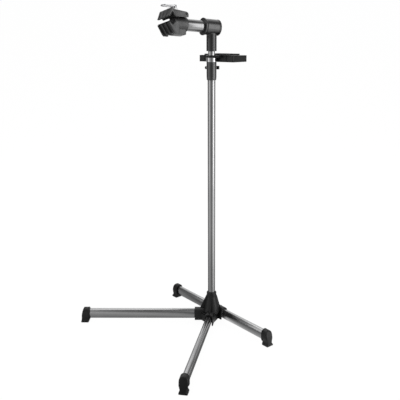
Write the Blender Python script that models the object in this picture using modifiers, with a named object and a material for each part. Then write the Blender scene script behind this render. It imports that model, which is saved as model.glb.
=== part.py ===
"""Bicycle repair stand: four folding legs, a telescopic mast, a tool tray and a turning clamp head.

Metres, +Z up. The base faces -X, where its two long legs point. The origin lies on the floor
under the middle of the stand's outline.
"""

import math

import bmesh
import bpy
from mathutils import Vector

# Gaps between pieces
GAP = 0.0003
RUNNING_GAP = 0.0003
RESTING_GAP = 0.00035

# Mast and telescope
MAST_DIAMETER = 0.028
MAST_WALL = 0.0015
MAST_FOOT_Z = 0.040
POST_DIAMETER = 0.024
POST_WALL = 0.0015
SLEEVE_DIAMETER = 0.0355
SLEEVE_BOTTOM_Z = 0.939
SLEEVE_LENGTH = 0.0625
SLEEVE_TAPER = 0.011
SLEEVE_LIP = 0.0115
LIFT_RANGE = 0.45
LEAST_OVERLAP = 0.12
COLLAR_DIAMETER = 0.0375
COLLAR_HEIGHT = 0.0147

# Height clamp: split boss, bolt and cam lever
CLAMP_TURN = math.radians(50)
BOSS_Z = 0.981
BOSS_HEIGHT = 0.020
BOSS_WIDTH = 0.034
BOSS_REACH = 0.0135
SLIT_WIDTH = 0.003
CLAMP_BOLT_DIAMETER = 0.006
CLAMP_NUT_ACROSS = 0.010
CLAMP_NUT_HEIGHT = 0.005
CAM_DIAMETER = 0.011
CAM_HEIGHT = 0.012
CAM_PIN_DIAMETER = 0.004
LEVER_LENGTH = 0.046
LEVER_THICKNESS = 0.005

# Legs, feet and hub
LEG_HEIGHT = 0.040
LEG_WIDTH = 0.024
LEG_WALL = 0.0015
LEG_AXIS_Z = 0.034
LONG_LEG_REACH = 0.498
LONG_LEG_SPLAY = math.radians(40)
SIDE_LEG_REACH = 0.275
SIDE_LEG_OFFSET = 0.0355
LEG_PIN_DIAMETER = 0.008
LONG_PIN_REACH = 0.046
SIDE_PIN_REACH = 0.0225
SOCKET_WALL = 0.004
SOCKET_ROOF = 0.005
SOCKET_LENGTH = 0.020
SIDE_SOCKET_LENGTH = 0.0125
HUB_BOTTOM_Z = 0.012
HUB_TOP_Z = 0.126
HUB_COLLAR_WALL = 0.0045
HUB_COLLAR_HEIGHT = 0.018
HUB_SKIRT_HEIGHT = 0.034
HUB_SKIRT_WALL = 0.0035
HUB_DECK = 0.006
HUB_COLUMN_WALL = 0.0055
HUB_CONE_FLARE = 0.014
SKIRT_STEP = 0.004
RIB_THICKNESS = 0.006
RIB_STEP = 0.001
SIDE_RIB_STEP = 0.014
KNUCKLE_SHOULDER = 0.0145
KNUCKLE_SPIGOT = 0.030
NECK_RELIEF = 0.0004
FOOT_WALL = 0.003
FOOT_ROOF = 0.005
FOOT_WIDTH = 0.031
FOOT_WAIST = 0.022
FOOT_PLATE = 0.0045
FOOT_HEEL = 0.010
FOOT_TOE = 0.020
FOOT_SLEEVE = 0.0155
FOOT_TUBE_END = 0.001
SCREW_DIAMETER = 0.005

# Tool tray
TRAY_TURN = math.radians(10)
TRAY_LENGTH = 0.156
TRAY_DEPTH = 0.080
TRAY_DECK_HEIGHT = 0.0225
TRAY_RISE = 0.005
TRAY_WALL = 0.0025
TRAY_FLOOR = 0.0025
TRAY_DECK = 0.004
TRAY_CORNER = 0.003
TRAY_SLOT_END = 0.032
TRAY_KEY_END = 0.024
TRAY_BACK_BIN = 0.026
TRAY_STANDOFF = 0.0235
RING_WALL = 0.0055
RING_HEIGHT = 0.008
RING_EAR = 0.009
TRAY_SCREW_DIAMETER = 0.003

# Head: tee, arm and lock knob
HEAD_TURN = math.radians(170)
ARM_Z = 1.119
ARM_RISE = math.radians(3.9)
CLAMP_ROLL = math.radians(8)
TEE_BOTTOM_Z = 1.039
TEE_SOCKET_DIAMETER = 0.036
TEE_SOCKET_DEPTH = 0.047
TEE_BARREL_DIAMETER = 0.054
TEE_FLANGE_DIAMETER = 0.059
TEE_FLANGE_WIDTH = 0.004
TEE_FLARE = 0.006
TEE_FRONT = 0.036
TEE_REAR = 0.0195
TEE_REAR_WALL = 0.006
ARM_DIAMETER = 0.040
ARM_WALL = 0.002
ARM_TUBE_LENGTH = 0.1392
ARM_PLUG_LENGTH = 0.015
KNOB_DIAMETER = 0.055
KNOB_WIDTH = 0.008
DRAW_BOLT_DIAMETER = 0.008

# Clamp: places along the arm from its tube's outer end, heights above the arm axis
BODY_START = -0.024
BODY_BOSS_WALL = 0.0045
BODY_BOTTOM = -0.0365
BODY_BLOCK_START = -0.018
BODY_BLOCK_WIDTH = 0.046
JAW_LENGTH = 0.090
JAW_REAR_WIDTH = 0.056
JAW_TIP = 0.060
JAW_BACK = 0.0224
JAW_RIB_COUNT = 4
JAW_RIB_THICKNESS = 0.007
JAW_RIB_DEPTH = 0.004
UPPER_RIB_DEPTH = 0.0015
JAW_CHEEK = 0.0024
JAW_ROOM_TOP = 0.0265
HINGE_PLACE = -0.014
HINGE_HEIGHT = 0.031
HINGE_LUG_WIDTH = 0.016
HINGE_LUG_RADIUS = 0.0065
JAW_PIN_DIAMETER = 0.006
GROOVE_PLACE = 0.0460
LOWER_GROOVE_ANGLE = math.radians(45)
LOWER_GROOVE_HEIGHT = -0.007
LOWER_GROOVE_DEPTH = 0.008
UPPER_GROOVE_ANGLE = math.radians(33)
UPPER_GROOVE_HEIGHT = 0.0263
UPPER_GROOVE_DEPTH = 0.0105
PAD_THICKNESS = 0.003
SPINDLE_PLACE = 0.016
SPINDLE_DIAMETER = 0.008
SPINDLE_BOTTOM = -0.034
SPINDLE_HEAD_DIAMETER = 0.014
SPINDLE_HEAD_HEIGHT = 0.010
SPINDLE_SLOT = 0.019
SEAT_HEIGHT = 0.0365
SEAT_LENGTH = 0.026
SEAT_CLEARANCE = 0.0013
THRUST_BARREL_DIAMETER = 0.014
THRUST_BARREL_LENGTH = 0.022
BARREL_NUT_HEIGHT = -0.020
BARREL_NUT_LENGTH = 0.026
LOOP_WIRE = 0.0044
LOOP_LENGTH = 0.046
LOOP_WIDTH = 0.022

CENTRE_STEP = 0.0005
ROUND_STEPS = 32
SMALL_STEPS = 12
ARC_STEPS = 6

# Sizes that follow from the driving dimensions
MAST_RADIUS = MAST_DIAMETER / 2
POST_RADIUS = POST_DIAMETER / 2
SLEEVE_TOP_Z = SLEEVE_BOTTOM_Z + SLEEVE_LENGTH
MAST_TOP_Z = SLEEVE_TOP_Z - SLEEVE_LIP - GAP
POST_BOTTOM_Z = SLEEVE_BOTTOM_Z - LIFT_RANGE - LEAST_OVERLAP
COLLAR_BOTTOM_Z = SLEEVE_TOP_Z + RUNNING_GAP
COLLAR_TOP_Z = COLLAR_BOTTOM_Z + COLLAR_HEIGHT
RING_BOTTOM_Z = COLLAR_TOP_Z + RUNNING_GAP
RING_TOP_Z = RING_BOTTOM_Z + RING_HEIGHT
TRAY_TOP_Z = RING_TOP_Z - 0.001
TRAY_BOTTOM_Z = TRAY_TOP_Z - TRAY_DECK_HEIGHT
SOCKET_HALF_WIDTH = LEG_WIDTH / 2 + RESTING_GAP + SOCKET_WALL
SOCKET_STRAIGHT = (LEG_HEIGHT - LEG_WIDTH) / 2
SOCKET_TOP_Z = LEG_AXIS_Z + LEG_HEIGHT / 2 + RESTING_GAP + SOCKET_ROOF
KNUCKLE_RADIUS = LEG_HEIGHT / 2
HUB_COLLAR_RADIUS = MAST_RADIUS + GAP + HUB_COLLAR_WALL
HUB_COLUMN_RADIUS = MAST_RADIUS + GAP + HUB_COLUMN_WALL
HUB_DECK_Z = HUB_BOTTOM_Z + HUB_SKIRT_HEIGHT
ARM_RADIUS = ARM_DIAMETER / 2
ARM_INNER = -TEE_REAR + TEE_REAR_WALL + GAP
ARM_OUTER = ARM_INNER + ARM_TUBE_LENGTH
BODY_BOSS_RADIUS = ARM_RADIUS + GAP + BODY_BOSS_WALL
BOSS_CENTRE = SLEEVE_DIAMETER / 2 + BOSS_REACH / 2
CAM_PLACE = BOSS_WIDTH / 2 + GAP + CAM_DIAMETER / 2

# Lower outline of the clamp body's jaw and outline of the upper jaw, along the arm and above it
LOWER_JAW = (
    (JAW_BACK, 0.0013),
    (GROOVE_PLACE - 0.011, 0.0013),
    (GROOVE_PLACE + 0.011, -0.0012),
    (JAW_TIP, -0.0018),
    (JAW_TIP - 0.0015, -0.0055),
    (JAW_TIP - 0.0105, -0.0210),
    (JAW_TIP - 0.0165, -0.0315),
    (JAW_TIP - 0.0215, BODY_BOTTOM),
    (JAW_BACK, BODY_BOTTOM),
)
UPPER_JAW_FRONT = (
    (GROOVE_PLACE - 0.0128, 0.0166),
    (GROOVE_PLACE - 0.0022, 0.0425),
    (GROOVE_PLACE - 0.0004, 0.0445),
    (GROOVE_PLACE + 0.0024, 0.0445),
    (GROOVE_PLACE + 0.0042, 0.0425),
    (JAW_TIP - 0.0030, 0.0240),
    (JAW_TIP, 0.0175),
    (JAW_TIP - 0.0016, 0.0155),
)
UPPER_JAW_REAR = (
    (HINGE_PLACE - 0.0080, HINGE_HEIGHT - 0.0110),
    (HINGE_PLACE - 0.0085, HINGE_HEIGHT - 0.0020),
    (HINGE_PLACE - 0.0060, HINGE_HEIGHT + 0.0045),
    (HINGE_PLACE, HINGE_HEIGHT + 0.0070),
    (GROOVE_PLACE - 0.0040, 0.0438),
    (GROOVE_PLACE - 0.0040, 0.0340),
    (GROOVE_PLACE - 0.0105, 0.0200),
    (HINGE_PLACE + 0.0080, HINGE_HEIGHT - 0.0113),
)


def clear_scene():
    for item in list(bpy.data.objects):
        bpy.data.objects.remove(item, do_unlink=True)


def collection(name):
    made = bpy.data.collections.new(name)
    bpy.context.scene.collection.children.link(made)
    return made


def material(name, colour, roughness, metallic=0.0):
    made = bpy.data.materials.new(name)
    made.use_nodes = True
    shader = made.node_tree.nodes["Principled BSDF"]
    shader.inputs["Base Color"].default_value = (*colour, 1.0)
    shader.inputs["Roughness"].default_value = roughness
    shader.inputs["Metallic"].default_value = metallic
    return made


def frame(name, parent=None, at=(0.0, 0.0, 0.0), turn=(0.0, 0.0, 0.0)):
    """An empty that carries pieces: place and turn in its parent's axes."""
    made = bpy.data.objects.new(name, None)
    made.location = at
    made.rotation_euler = turn
    made.parent = parent
    PARTS.objects.link(made)
    return made


# Turns that lay a piece made along Z, or drawn in XY, into a frame's axes
ALONG_Z = (0.0, 0.0, 0.0)
ALONG_X = (0.0, math.pi / 2, 0.0)
ALONG_Y = (math.pi / 2, 0.0, 0.0)
IN_XY = (0.0, 0.0, 0.0)
IN_XZ = (math.pi / 2, 0.0, 0.0)
IN_YZ = (math.pi / 2, 0.0, math.pi / 2)


def place(item, finish, parent, at, turn):
    """A finished piece when it has a finish, otherwise a cutter or a shape to be joined."""
    item.location = at
    item.rotation_euler = turn
    item.parent = parent
    if finish is None:
        TOOLS.objects.link(item)
        item.hide_render = True
        item.display_type = "WIRE"
    else:
        PARTS.objects.link(item)
        item.data.materials.append(finish)
    return item


def turned(name, profile, parent, finish=None, at=(0, 0, 0), along=ALONG_Z, steps=ROUND_STEPS, hollow=False):
    """A profile of (radius, height) points, running down its outer side, turned about its axis."""
    mesh = bpy.data.meshes.new(name)
    edges = [(i, i + 1) for i in range(len(profile) - 1)]
    if hollow:
        edges.append((len(profile) - 1, 0))
    mesh.from_pydata([(r, 0.0, z) for r, z in profile], edges, [])
    item = bpy.data.objects.new(name, mesh)
    place(item, finish, parent, at, along)
    screw = item.modifiers.new("turn", "SCREW")
    screw.axis = "Z"
    screw.angle = math.tau
    screw.steps = steps
    screw.render_steps = steps
    screw.use_merge_vertices = True
    screw.merge_threshold = 0.00001
    screw.use_smooth_shade = True
    return item


def rod(name, radius, low, high, parent, finish=None, at=(0, 0, 0), along=ALONG_Z, steps=SMALL_STEPS, chamfer=0.0):
    """A round bar from low to high along its axis, with its ends chamfered."""
    profile = [(0.0, high), (radius - chamfer, high)]
    if chamfer:
        profile += [(radius, high - chamfer), (radius, low + chamfer)]
        profile += [(radius - chamfer, low), (0.0, low)]
    else:
        profile += [(radius, low), (0.0, low)]
        profile[1] = (radius, high)
    return turned(name, profile, parent, finish, at, along, steps)


def pipe(name, outer, inner, low, high, parent, finish, at=(0, 0, 0), along=ALONG_Z, steps=ROUND_STEPS):
    """A round tube from low to high along its axis."""
    profile = [(outer, high), (outer, low), (inner, low), (inner, high)]
    return turned(name, profile, parent, finish, at, along, steps, hollow=True)


def prism(name, outlines, depth, parent, finish=None, at=(0, 0, 0), lay=IN_XY):
    """Flat outlines, the later ones holes, filled and given a thickness about their plane."""
    curve = bpy.data.curves.new(name, "CURVE")
    curve.dimensions = "2D"
    curve.fill_mode = "BOTH"
    curve.extrude = depth / 2
    for outline in outlines:
        spline = curve.splines.new("POLY")
        spline.points.add(len(outline) - 1)
        for point, (x, y) in zip(spline.points, outline):
            point.co = (x, y, 0.0, 1.0)
        spline.use_cyclic_u = True
    drawn = bpy.data.objects.new(name + "_outline", curve)
    TOOLS.objects.link(drawn)
    bpy.context.view_layer.update()
    seen = drawn.evaluated_get(bpy.context.evaluated_depsgraph_get())
    mesh = bpy.data.meshes.new_from_object(seen)
    mesh.name = name
    item = bpy.data.objects.new(name, mesh)
    item.matrix_world = drawn.matrix_world.copy()
    bpy.data.objects.remove(drawn, do_unlink=True)
    work = bmesh.new()
    work.from_mesh(mesh)
    bmesh.ops.remove_doubles(work, verts=work.verts, dist=0.000001)
    bmesh.ops.recalc_face_normals(work, faces=work.faces)
    work.to_mesh(mesh)
    work.free()
    return place(item, finish, parent, at, lay)


def combine(item, other, operation):
    step = item.modifiers.new(operation.lower(), "BOOLEAN")
    step.operation = operation
    step.object = other
    return item


def cut(item, *tools):
    for tool in tools:
        combine(item, tool, "DIFFERENCE")
    return item


def join(item, *others):
    for other in others:
        combine(item, other, "UNION")
    return item


def arc(centre, radius, start, end, steps=ARC_STEPS):
    """Points on a circle from one angle to another, in degrees."""
    angles = [math.radians(start + (end - start) * i / steps) for i in range(steps + 1)]
    return [(centre[0] + radius * math.cos(a), centre[1] + radius * math.sin(a)) for a in angles]


def circle(centre, radius, steps=SMALL_STEPS):
    return arc(centre, radius, 0, 360 * (steps - 1) / steps, steps - 1)


def oval(width, height, steps=ARC_STEPS):
    """Outline with straight sides and half-round top and bottom."""
    radius = width / 2
    straight = (height - width) / 2
    return arc((0, straight), radius, 0, 180, steps) + arc((0, -straight), radius, 180, 360, steps)


def arch(half_width, spring, bottom, steps=ARC_STEPS):
    """Half-round top from the spring line, straight sides down to the bottom."""
    return arc((0, spring), half_width, 0, 180, steps) + [(-half_width, bottom), (half_width, bottom)]


def rounded(corners, radius, steps=3):
    """A closed outline with each corner turned into an arc, as far as its sides allow."""
    points = []
    count = len(corners)
    for i in range(count):
        corner = Vector(corners[i])
        before = Vector(corners[i - 1]) - corner
        after = Vector(corners[(i + 1) % count]) - corner
        half = before.angle(after) / 2
        reach = min(radius / math.tan(half), 0.45 * before.length, 0.45 * after.length)
        start = corner + before.normalized() * reach
        end = corner + after.normalized() * reach
        for j in range(steps + 1):
            t = j / steps
            bend = start * (1 - t) ** 2 + corner * 2 * t * (1 - t) + end * t**2
            points.append((bend.x, bend.y))
    return points


def box_outline(x_low, x_high, y_low, y_high):
    return [(x_low, y_low), (x_high, y_low), (x_high, y_high), (x_low, y_high)]


def hexagon(across):
    return circle((0, 0), across / math.sqrt(3), 6)


def groove(apex_place, apex_height, depth, thickness, angle, up):
    """V of a jaw pad: the inner faces meet at the apex, and up is 1 for a V that opens upwards."""
    slope = math.tan(angle)
    skin = thickness / math.cos(angle)
    mouth = depth * slope
    outer_mouth = mouth + skin
    crown = thickness * 1.2
    crown_half = (thickness / math.sin(angle) - crown) * slope
    return [
        (apex_place + side * x, apex_height + up * h)
        for side, x, h in (
            (1, mouth, depth),
            (1, outer_mouth, depth),
            (1, crown_half, -crown),
            (-1, crown_half, -crown),
            (-1, outer_mouth, depth),
            (-1, mouth, depth),
            (1, 0.0, 0.0),
        )
    ]


def groove_cutter(apex_place, apex_height, depth, thickness, angle, up):
    """The pocket that holds a pad, open far past the pad's mouth."""
    outline = groove(apex_place, apex_height, depth, thickness + GAP, angle, up)
    right, right_crown, left_crown, left = outline[1], outline[2], outline[3], outline[4]
    slope = math.tan(angle)
    further = 0.020
    return [
        (right[0] + further * slope, right[1] + up * further),
        right_crown,
        left_crown,
        (left[0] - further * slope, left[1] + up * further),
    ]


clear_scene()
PARTS = collection("bicycle_repair_stand")
TOOLS = collection("cutters_and_joined_shapes")

SILVER = material("satin_silver_tube", (0.42, 0.42, 0.43), 0.34, 1.0)
BLACK = material("black_moulding", (0.022, 0.022, 0.023), 0.42)
RUBBER = material("jaw_rubber", (0.045, 0.045, 0.047), 0.75)
CHROME = material("chrome", (0.78, 0.78, 0.79), 0.12, 1.0)
ZINC = material("zinc_steel", (0.46, 0.46, 0.47), 0.38, 1.0)
BUSH = material("grey_bush", (0.30, 0.30, 0.31), 0.55)

STAND = frame("stand_axis")
LEGS = (
    ("front_left", -LONG_PIN_REACH, 0.0, math.pi + LONG_LEG_SPLAY, LONG_LEG_REACH - LONG_PIN_REACH, SOCKET_LENGTH),
    ("front_right", -LONG_PIN_REACH, 0.0, math.pi - LONG_LEG_SPLAY, LONG_LEG_REACH - LONG_PIN_REACH, SOCKET_LENGTH),
    ("side_left", SIDE_PIN_REACH, SIDE_LEG_OFFSET, -math.pi / 2, SIDE_LEG_REACH - SIDE_PIN_REACH, SIDE_SOCKET_LENGTH),
    ("side_right", SIDE_PIN_REACH, SIDE_LEG_OFFSET, math.pi / 2, SIDE_LEG_REACH - SIDE_PIN_REACH, SIDE_SOCKET_LENGTH),
)


def leg_frame(name, turn, out, behind):
    """The leg's hinge: +X runs out along the leg and +Y along its pin."""
    x = behind + abs(out) * math.cos(turn)
    y = abs(out) * math.sin(turn)
    return frame(name + "_leg_axis", STAND, (x, y, LEG_AXIS_Z), (0.0, 0.0, turn))


def foot_outlines():
    """Front view, across the leg, and side view, along it, about the leg's axis."""
    half = LEG_WIDTH / 2 + GAP + FOOT_WALL
    crown = LEG_HEIGHT / 2 + GAP + FOOT_ROOF
    floor = -LEG_AXIS_Z
    plate = floor + FOOT_PLATE
    neck = plate + 0.007
    shoulder = -LEG_HEIGHT * 0.15
    waist = FOOT_WAIST / 2
    base = FOOT_WIDTH / 2
    front = arc((0, crown - half), half, 0, 180)
    front += [(-half, shoulder), (-waist, neck), (-base, plate), (-base, floor)]
    front += [(base, floor), (base, plate), (waist, neck), (half, shoulder)]
    side = [
        (-FOOT_SLEEVE, crown),
        (FOOT_TOE - 0.018, crown),
        (FOOT_TOE - 0.0145, crown - 0.003),
        (FOOT_TOE - 0.0075, 0.0025),
        (FOOT_TOE - 0.0035, neck),
        (FOOT_TOE - 0.0005, plate),
        (FOOT_TOE, floor),
        (-FOOT_HEEL, floor),
        (-FOOT_HEEL - 0.0005, plate),
        (-FOOT_SLEEVE, plate + 0.004),
    ]
    return front, side


def build_leg(name, axis, length):
    """One folding leg: the moulded knuckle on its pin, the oval tube and the foot."""
    inner_width = LEG_WIDTH - 2 * LEG_WALL
    inner_height = LEG_HEIGHT - 2 * LEG_WALL
    barrel = [(SOCKET_STRAIGHT + x, y) for x, y in arc((0, 0), LEG_WIDTH / 2, 90, -90)]
    barrel = [(0.0, barrel[0][1])] + barrel + [(0.0, barrel[-1][1])]
    knuckle = turned(name + "_knuckle", barrel, axis, BUSH, along=ALONG_Y, steps=24)
    neck = prism(
        name + "_knuckle_neck",
        [oval(LEG_WIDTH - 2 * NECK_RELIEF, LEG_HEIGHT - 2 * NECK_RELIEF)],
        KNUCKLE_SHOULDER,
        axis,
        at=(KNUCKLE_SHOULDER / 2, 0, 0),
        lay=IN_YZ,
    )
    spigot = prism(
        name + "_knuckle_spigot",
        [oval(inner_width - 2 * GAP, inner_height - 2 * GAP)],
        KNUCKLE_SHOULDER + KNUCKLE_SPIGOT,
        axis,
        at=((KNUCKLE_SHOULDER + KNUCKLE_SPIGOT) / 2, 0, 0),
        lay=IN_YZ,
    )
    join(knuckle, neck, spigot)
    hole_radius = LEG_PIN_DIAMETER / 2 + RUNNING_GAP
    hole = rod(name + "_pin_hole", hole_radius, -LEG_WIDTH, LEG_WIDTH, axis, along=ALONG_Y)
    cut(knuckle, hole)
    start = KNUCKLE_SHOULDER + GAP
    end = length + FOOT_TUBE_END
    prism(
        name + "_leg_tube",
        [oval(LEG_WIDTH, LEG_HEIGHT), oval(inner_width, inner_height)],
        end - start,
        axis,
        SILVER,
        at=((start + end) / 2, 0, 0),
        lay=IN_YZ,
    )
    front, side = foot_outlines()
    foot = prism(name + "_foot", [side], FOOT_WIDTH + 0.002, axis, BLACK, at=(length, 0, 0), lay=IN_XZ)
    across = prism(name + "_foot_front", [front], 0.2, axis, at=(length, 0, 0), lay=IN_YZ)
    combine(foot, across, "INTERSECT")
    socket_end = end + GAP
    socket_start = length - 2 * FOOT_SLEEVE
    socket = prism(
        name + "_foot_socket",
        [oval(LEG_WIDTH + 2 * GAP, LEG_HEIGHT + 2 * GAP)],
        socket_end - socket_start,
        axis,
        at=((socket_start + socket_end) / 2, 0, 0),
        lay=IN_YZ,
    )
    cut(foot, socket)


def hub_outline(grow):
    """Outline round the four socket mouths, moved outwards by grow."""
    points = []
    half = SOCKET_HALF_WIDTH + grow
    for _, out, behind, turn, _, _ in LEGS:
        mouth = abs(out) - SKIRT_STEP + grow
        along = Vector((math.cos(turn), math.sin(turn)))
        across = Vector((-along.y, along.x))
        middle = Vector((behind, 0.0)) + along * mouth
        points += [middle + across * half, middle - across * half]
    middle = sum(points, Vector((0.0, 0.0))) / len(points)
    points.sort(key=lambda p: math.atan2(p.y - middle.y, p.x - middle.x))
    return [(p.x, p.y) for p in points]


def build_hub(axes):
    """Ribbed pyramid: collar, cone, hollow skirt and four roofed sockets open below."""
    cone_foot = HUB_DECK_Z + 0.004
    collar_foot = HUB_TOP_Z - HUB_COLLAR_HEIGHT
    profile = [
        (0.0, HUB_TOP_Z),
        (HUB_COLLAR_RADIUS - 0.001, HUB_TOP_Z),
        (HUB_COLLAR_RADIUS, HUB_TOP_Z - 0.001),
        (HUB_COLLAR_RADIUS, collar_foot),
        (HUB_COLLAR_RADIUS + HUB_CONE_FLARE, cone_foot),
        (HUB_COLLAR_RADIUS + HUB_CONE_FLARE, HUB_DECK_Z - HUB_DECK + 0.001),
        (HUB_COLUMN_RADIUS, HUB_DECK_Z - HUB_DECK + 0.001),
        (HUB_COLUMN_RADIUS, HUB_BOTTOM_Z),
        (0.0, HUB_BOTTOM_Z),
    ]
    hub = turned("base_hub", profile, STAND, BLACK)
    deck = prism(
        "hub_deck", [rounded(hub_outline(0.0), 0.003)], HUB_DECK, STAND, at=(0, 0, HUB_DECK_Z - HUB_DECK / 2)
    )
    skirt = prism(
        "hub_skirt",
        [rounded(hub_outline(0.0), 0.003), rounded(hub_outline(-HUB_SKIRT_WALL), 0.001)],
        HUB_SKIRT_HEIGHT - 0.001,
        STAND,
        at=(0, 0, HUB_BOTTOM_Z + (HUB_SKIRT_HEIGHT - 0.001) / 2),
    )
    join(hub, deck, skirt)
    spring = SOCKET_TOP_Z - LEG_AXIS_Z - SOCKET_HALF_WIDTH
    slots = []
    for (name, _, behind, turn, _, socket), axis in zip(LEGS, axes):
        inner = -KNUCKLE_RADIUS - SOCKET_WALL
        housing = prism(
            name + "_socket",
            [arch(SOCKET_HALF_WIDTH, spring, HUB_BOTTOM_Z - LEG_AXIS_Z)],
            socket - inner,
            axis,
            at=((socket + inner) / 2, 0, 0),
            lay=IN_YZ,
        )
        join(hub, housing)
        slot_inner = -KNUCKLE_RADIUS - RESTING_GAP * 2
        slot_outer = socket + 0.020
        slots.append(
            prism(
                name + "_slot",
                [arch(LEG_WIDTH / 2 + RESTING_GAP, SOCKET_STRAIGHT, -LEG_HEIGHT)],
                slot_outer - slot_inner,
                axis,
                at=((slot_outer + slot_inner) / 2, 0, 0),
                lay=IN_YZ,
            )
        )
        pin_half = SOCKET_HALF_WIDTH - 0.0005
        rod(name + "_leg_pin", LEG_PIN_DIAMETER / 2, -pin_half, pin_half, axis, ZINC, along=ALONG_Y, chamfer=0.0005)
        hole_half = SOCKET_HALF_WIDTH + 0.001
        hole_radius = LEG_PIN_DIAMETER / 2 + RUNNING_GAP
        slots.append(rod(name + "_socket_hole", hole_radius, -hole_half, hole_half, axis, along=ALONG_Y))
        rib_step = SIDE_RIB_STEP if behind else RIB_STEP
        rib_end = Vector((axis.location.x, axis.location.y))
        rib_end -= Vector((math.cos(turn), math.sin(turn))) * rib_step
        rib_reach = rib_end.length
        rib = prism(
            name + "_rib",
            [
                [
                    (MAST_RADIUS, collar_foot + 0.004),
                    (HUB_COLLAR_RADIUS + 0.002, collar_foot + 0.004),
                    (HUB_COLLAR_RADIUS + 0.005, collar_foot - 0.004),
                    (rib_reach, SOCKET_TOP_Z - 0.001),
                    (rib_reach, HUB_DECK_Z - 0.003),
                    (MAST_RADIUS, HUB_DECK_Z - 0.003),
                ]
            ],
            RIB_THICKNESS,
            frame(name + "_rib_axis", STAND, turn=(0, 0, math.atan2(rib_end.y, rib_end.x))),
            lay=IN_XZ,
        )
        join(hub, rib)
    bore = rod("hub_bore", MAST_RADIUS + GAP, MAST_FOOT_Z, HUB_TOP_Z + 0.010, STAND, steps=ROUND_STEPS)
    cut(hub, bore, *slots)
    screw_z = HUB_TOP_Z - HUB_COLLAR_HEIGHT / 2
    screw_tip = MAST_RADIUS - MAST_WALL - 0.004
    radius = SCREW_DIAMETER / 2
    head_seat = HUB_COLLAR_RADIUS + GAP
    screw = [
        (0.0, head_seat + 0.0028),
        (radius * 1.5, head_seat + 0.0028),
        (radius * 1.9, head_seat + 0.0012),
        (radius * 1.9, head_seat),
        (radius, head_seat),
        (radius, screw_tip + 0.002),
        (0.0, screw_tip),
    ]
    turned("mast_screw", screw, STAND, ZINC, at=(0, 0, screw_z), along=ALONG_X, steps=SMALL_STEPS)
    hole = rod("mast_screw_hole", radius + GAP, 0.0, 0.050, STAND, at=(0, 0, screw_z), along=ALONG_X)
    return cut(hub, hole), hole


leg_axes = [leg_frame(name, turn, out, behind) for name, out, behind, turn, _, _ in LEGS]
for (leg_name, _, _, _, leg_length, _), leg_axis in zip(LEGS, leg_axes):
    build_leg(leg_name, leg_axis, leg_length)
_, screw_hole = build_hub(leg_axes)


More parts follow.
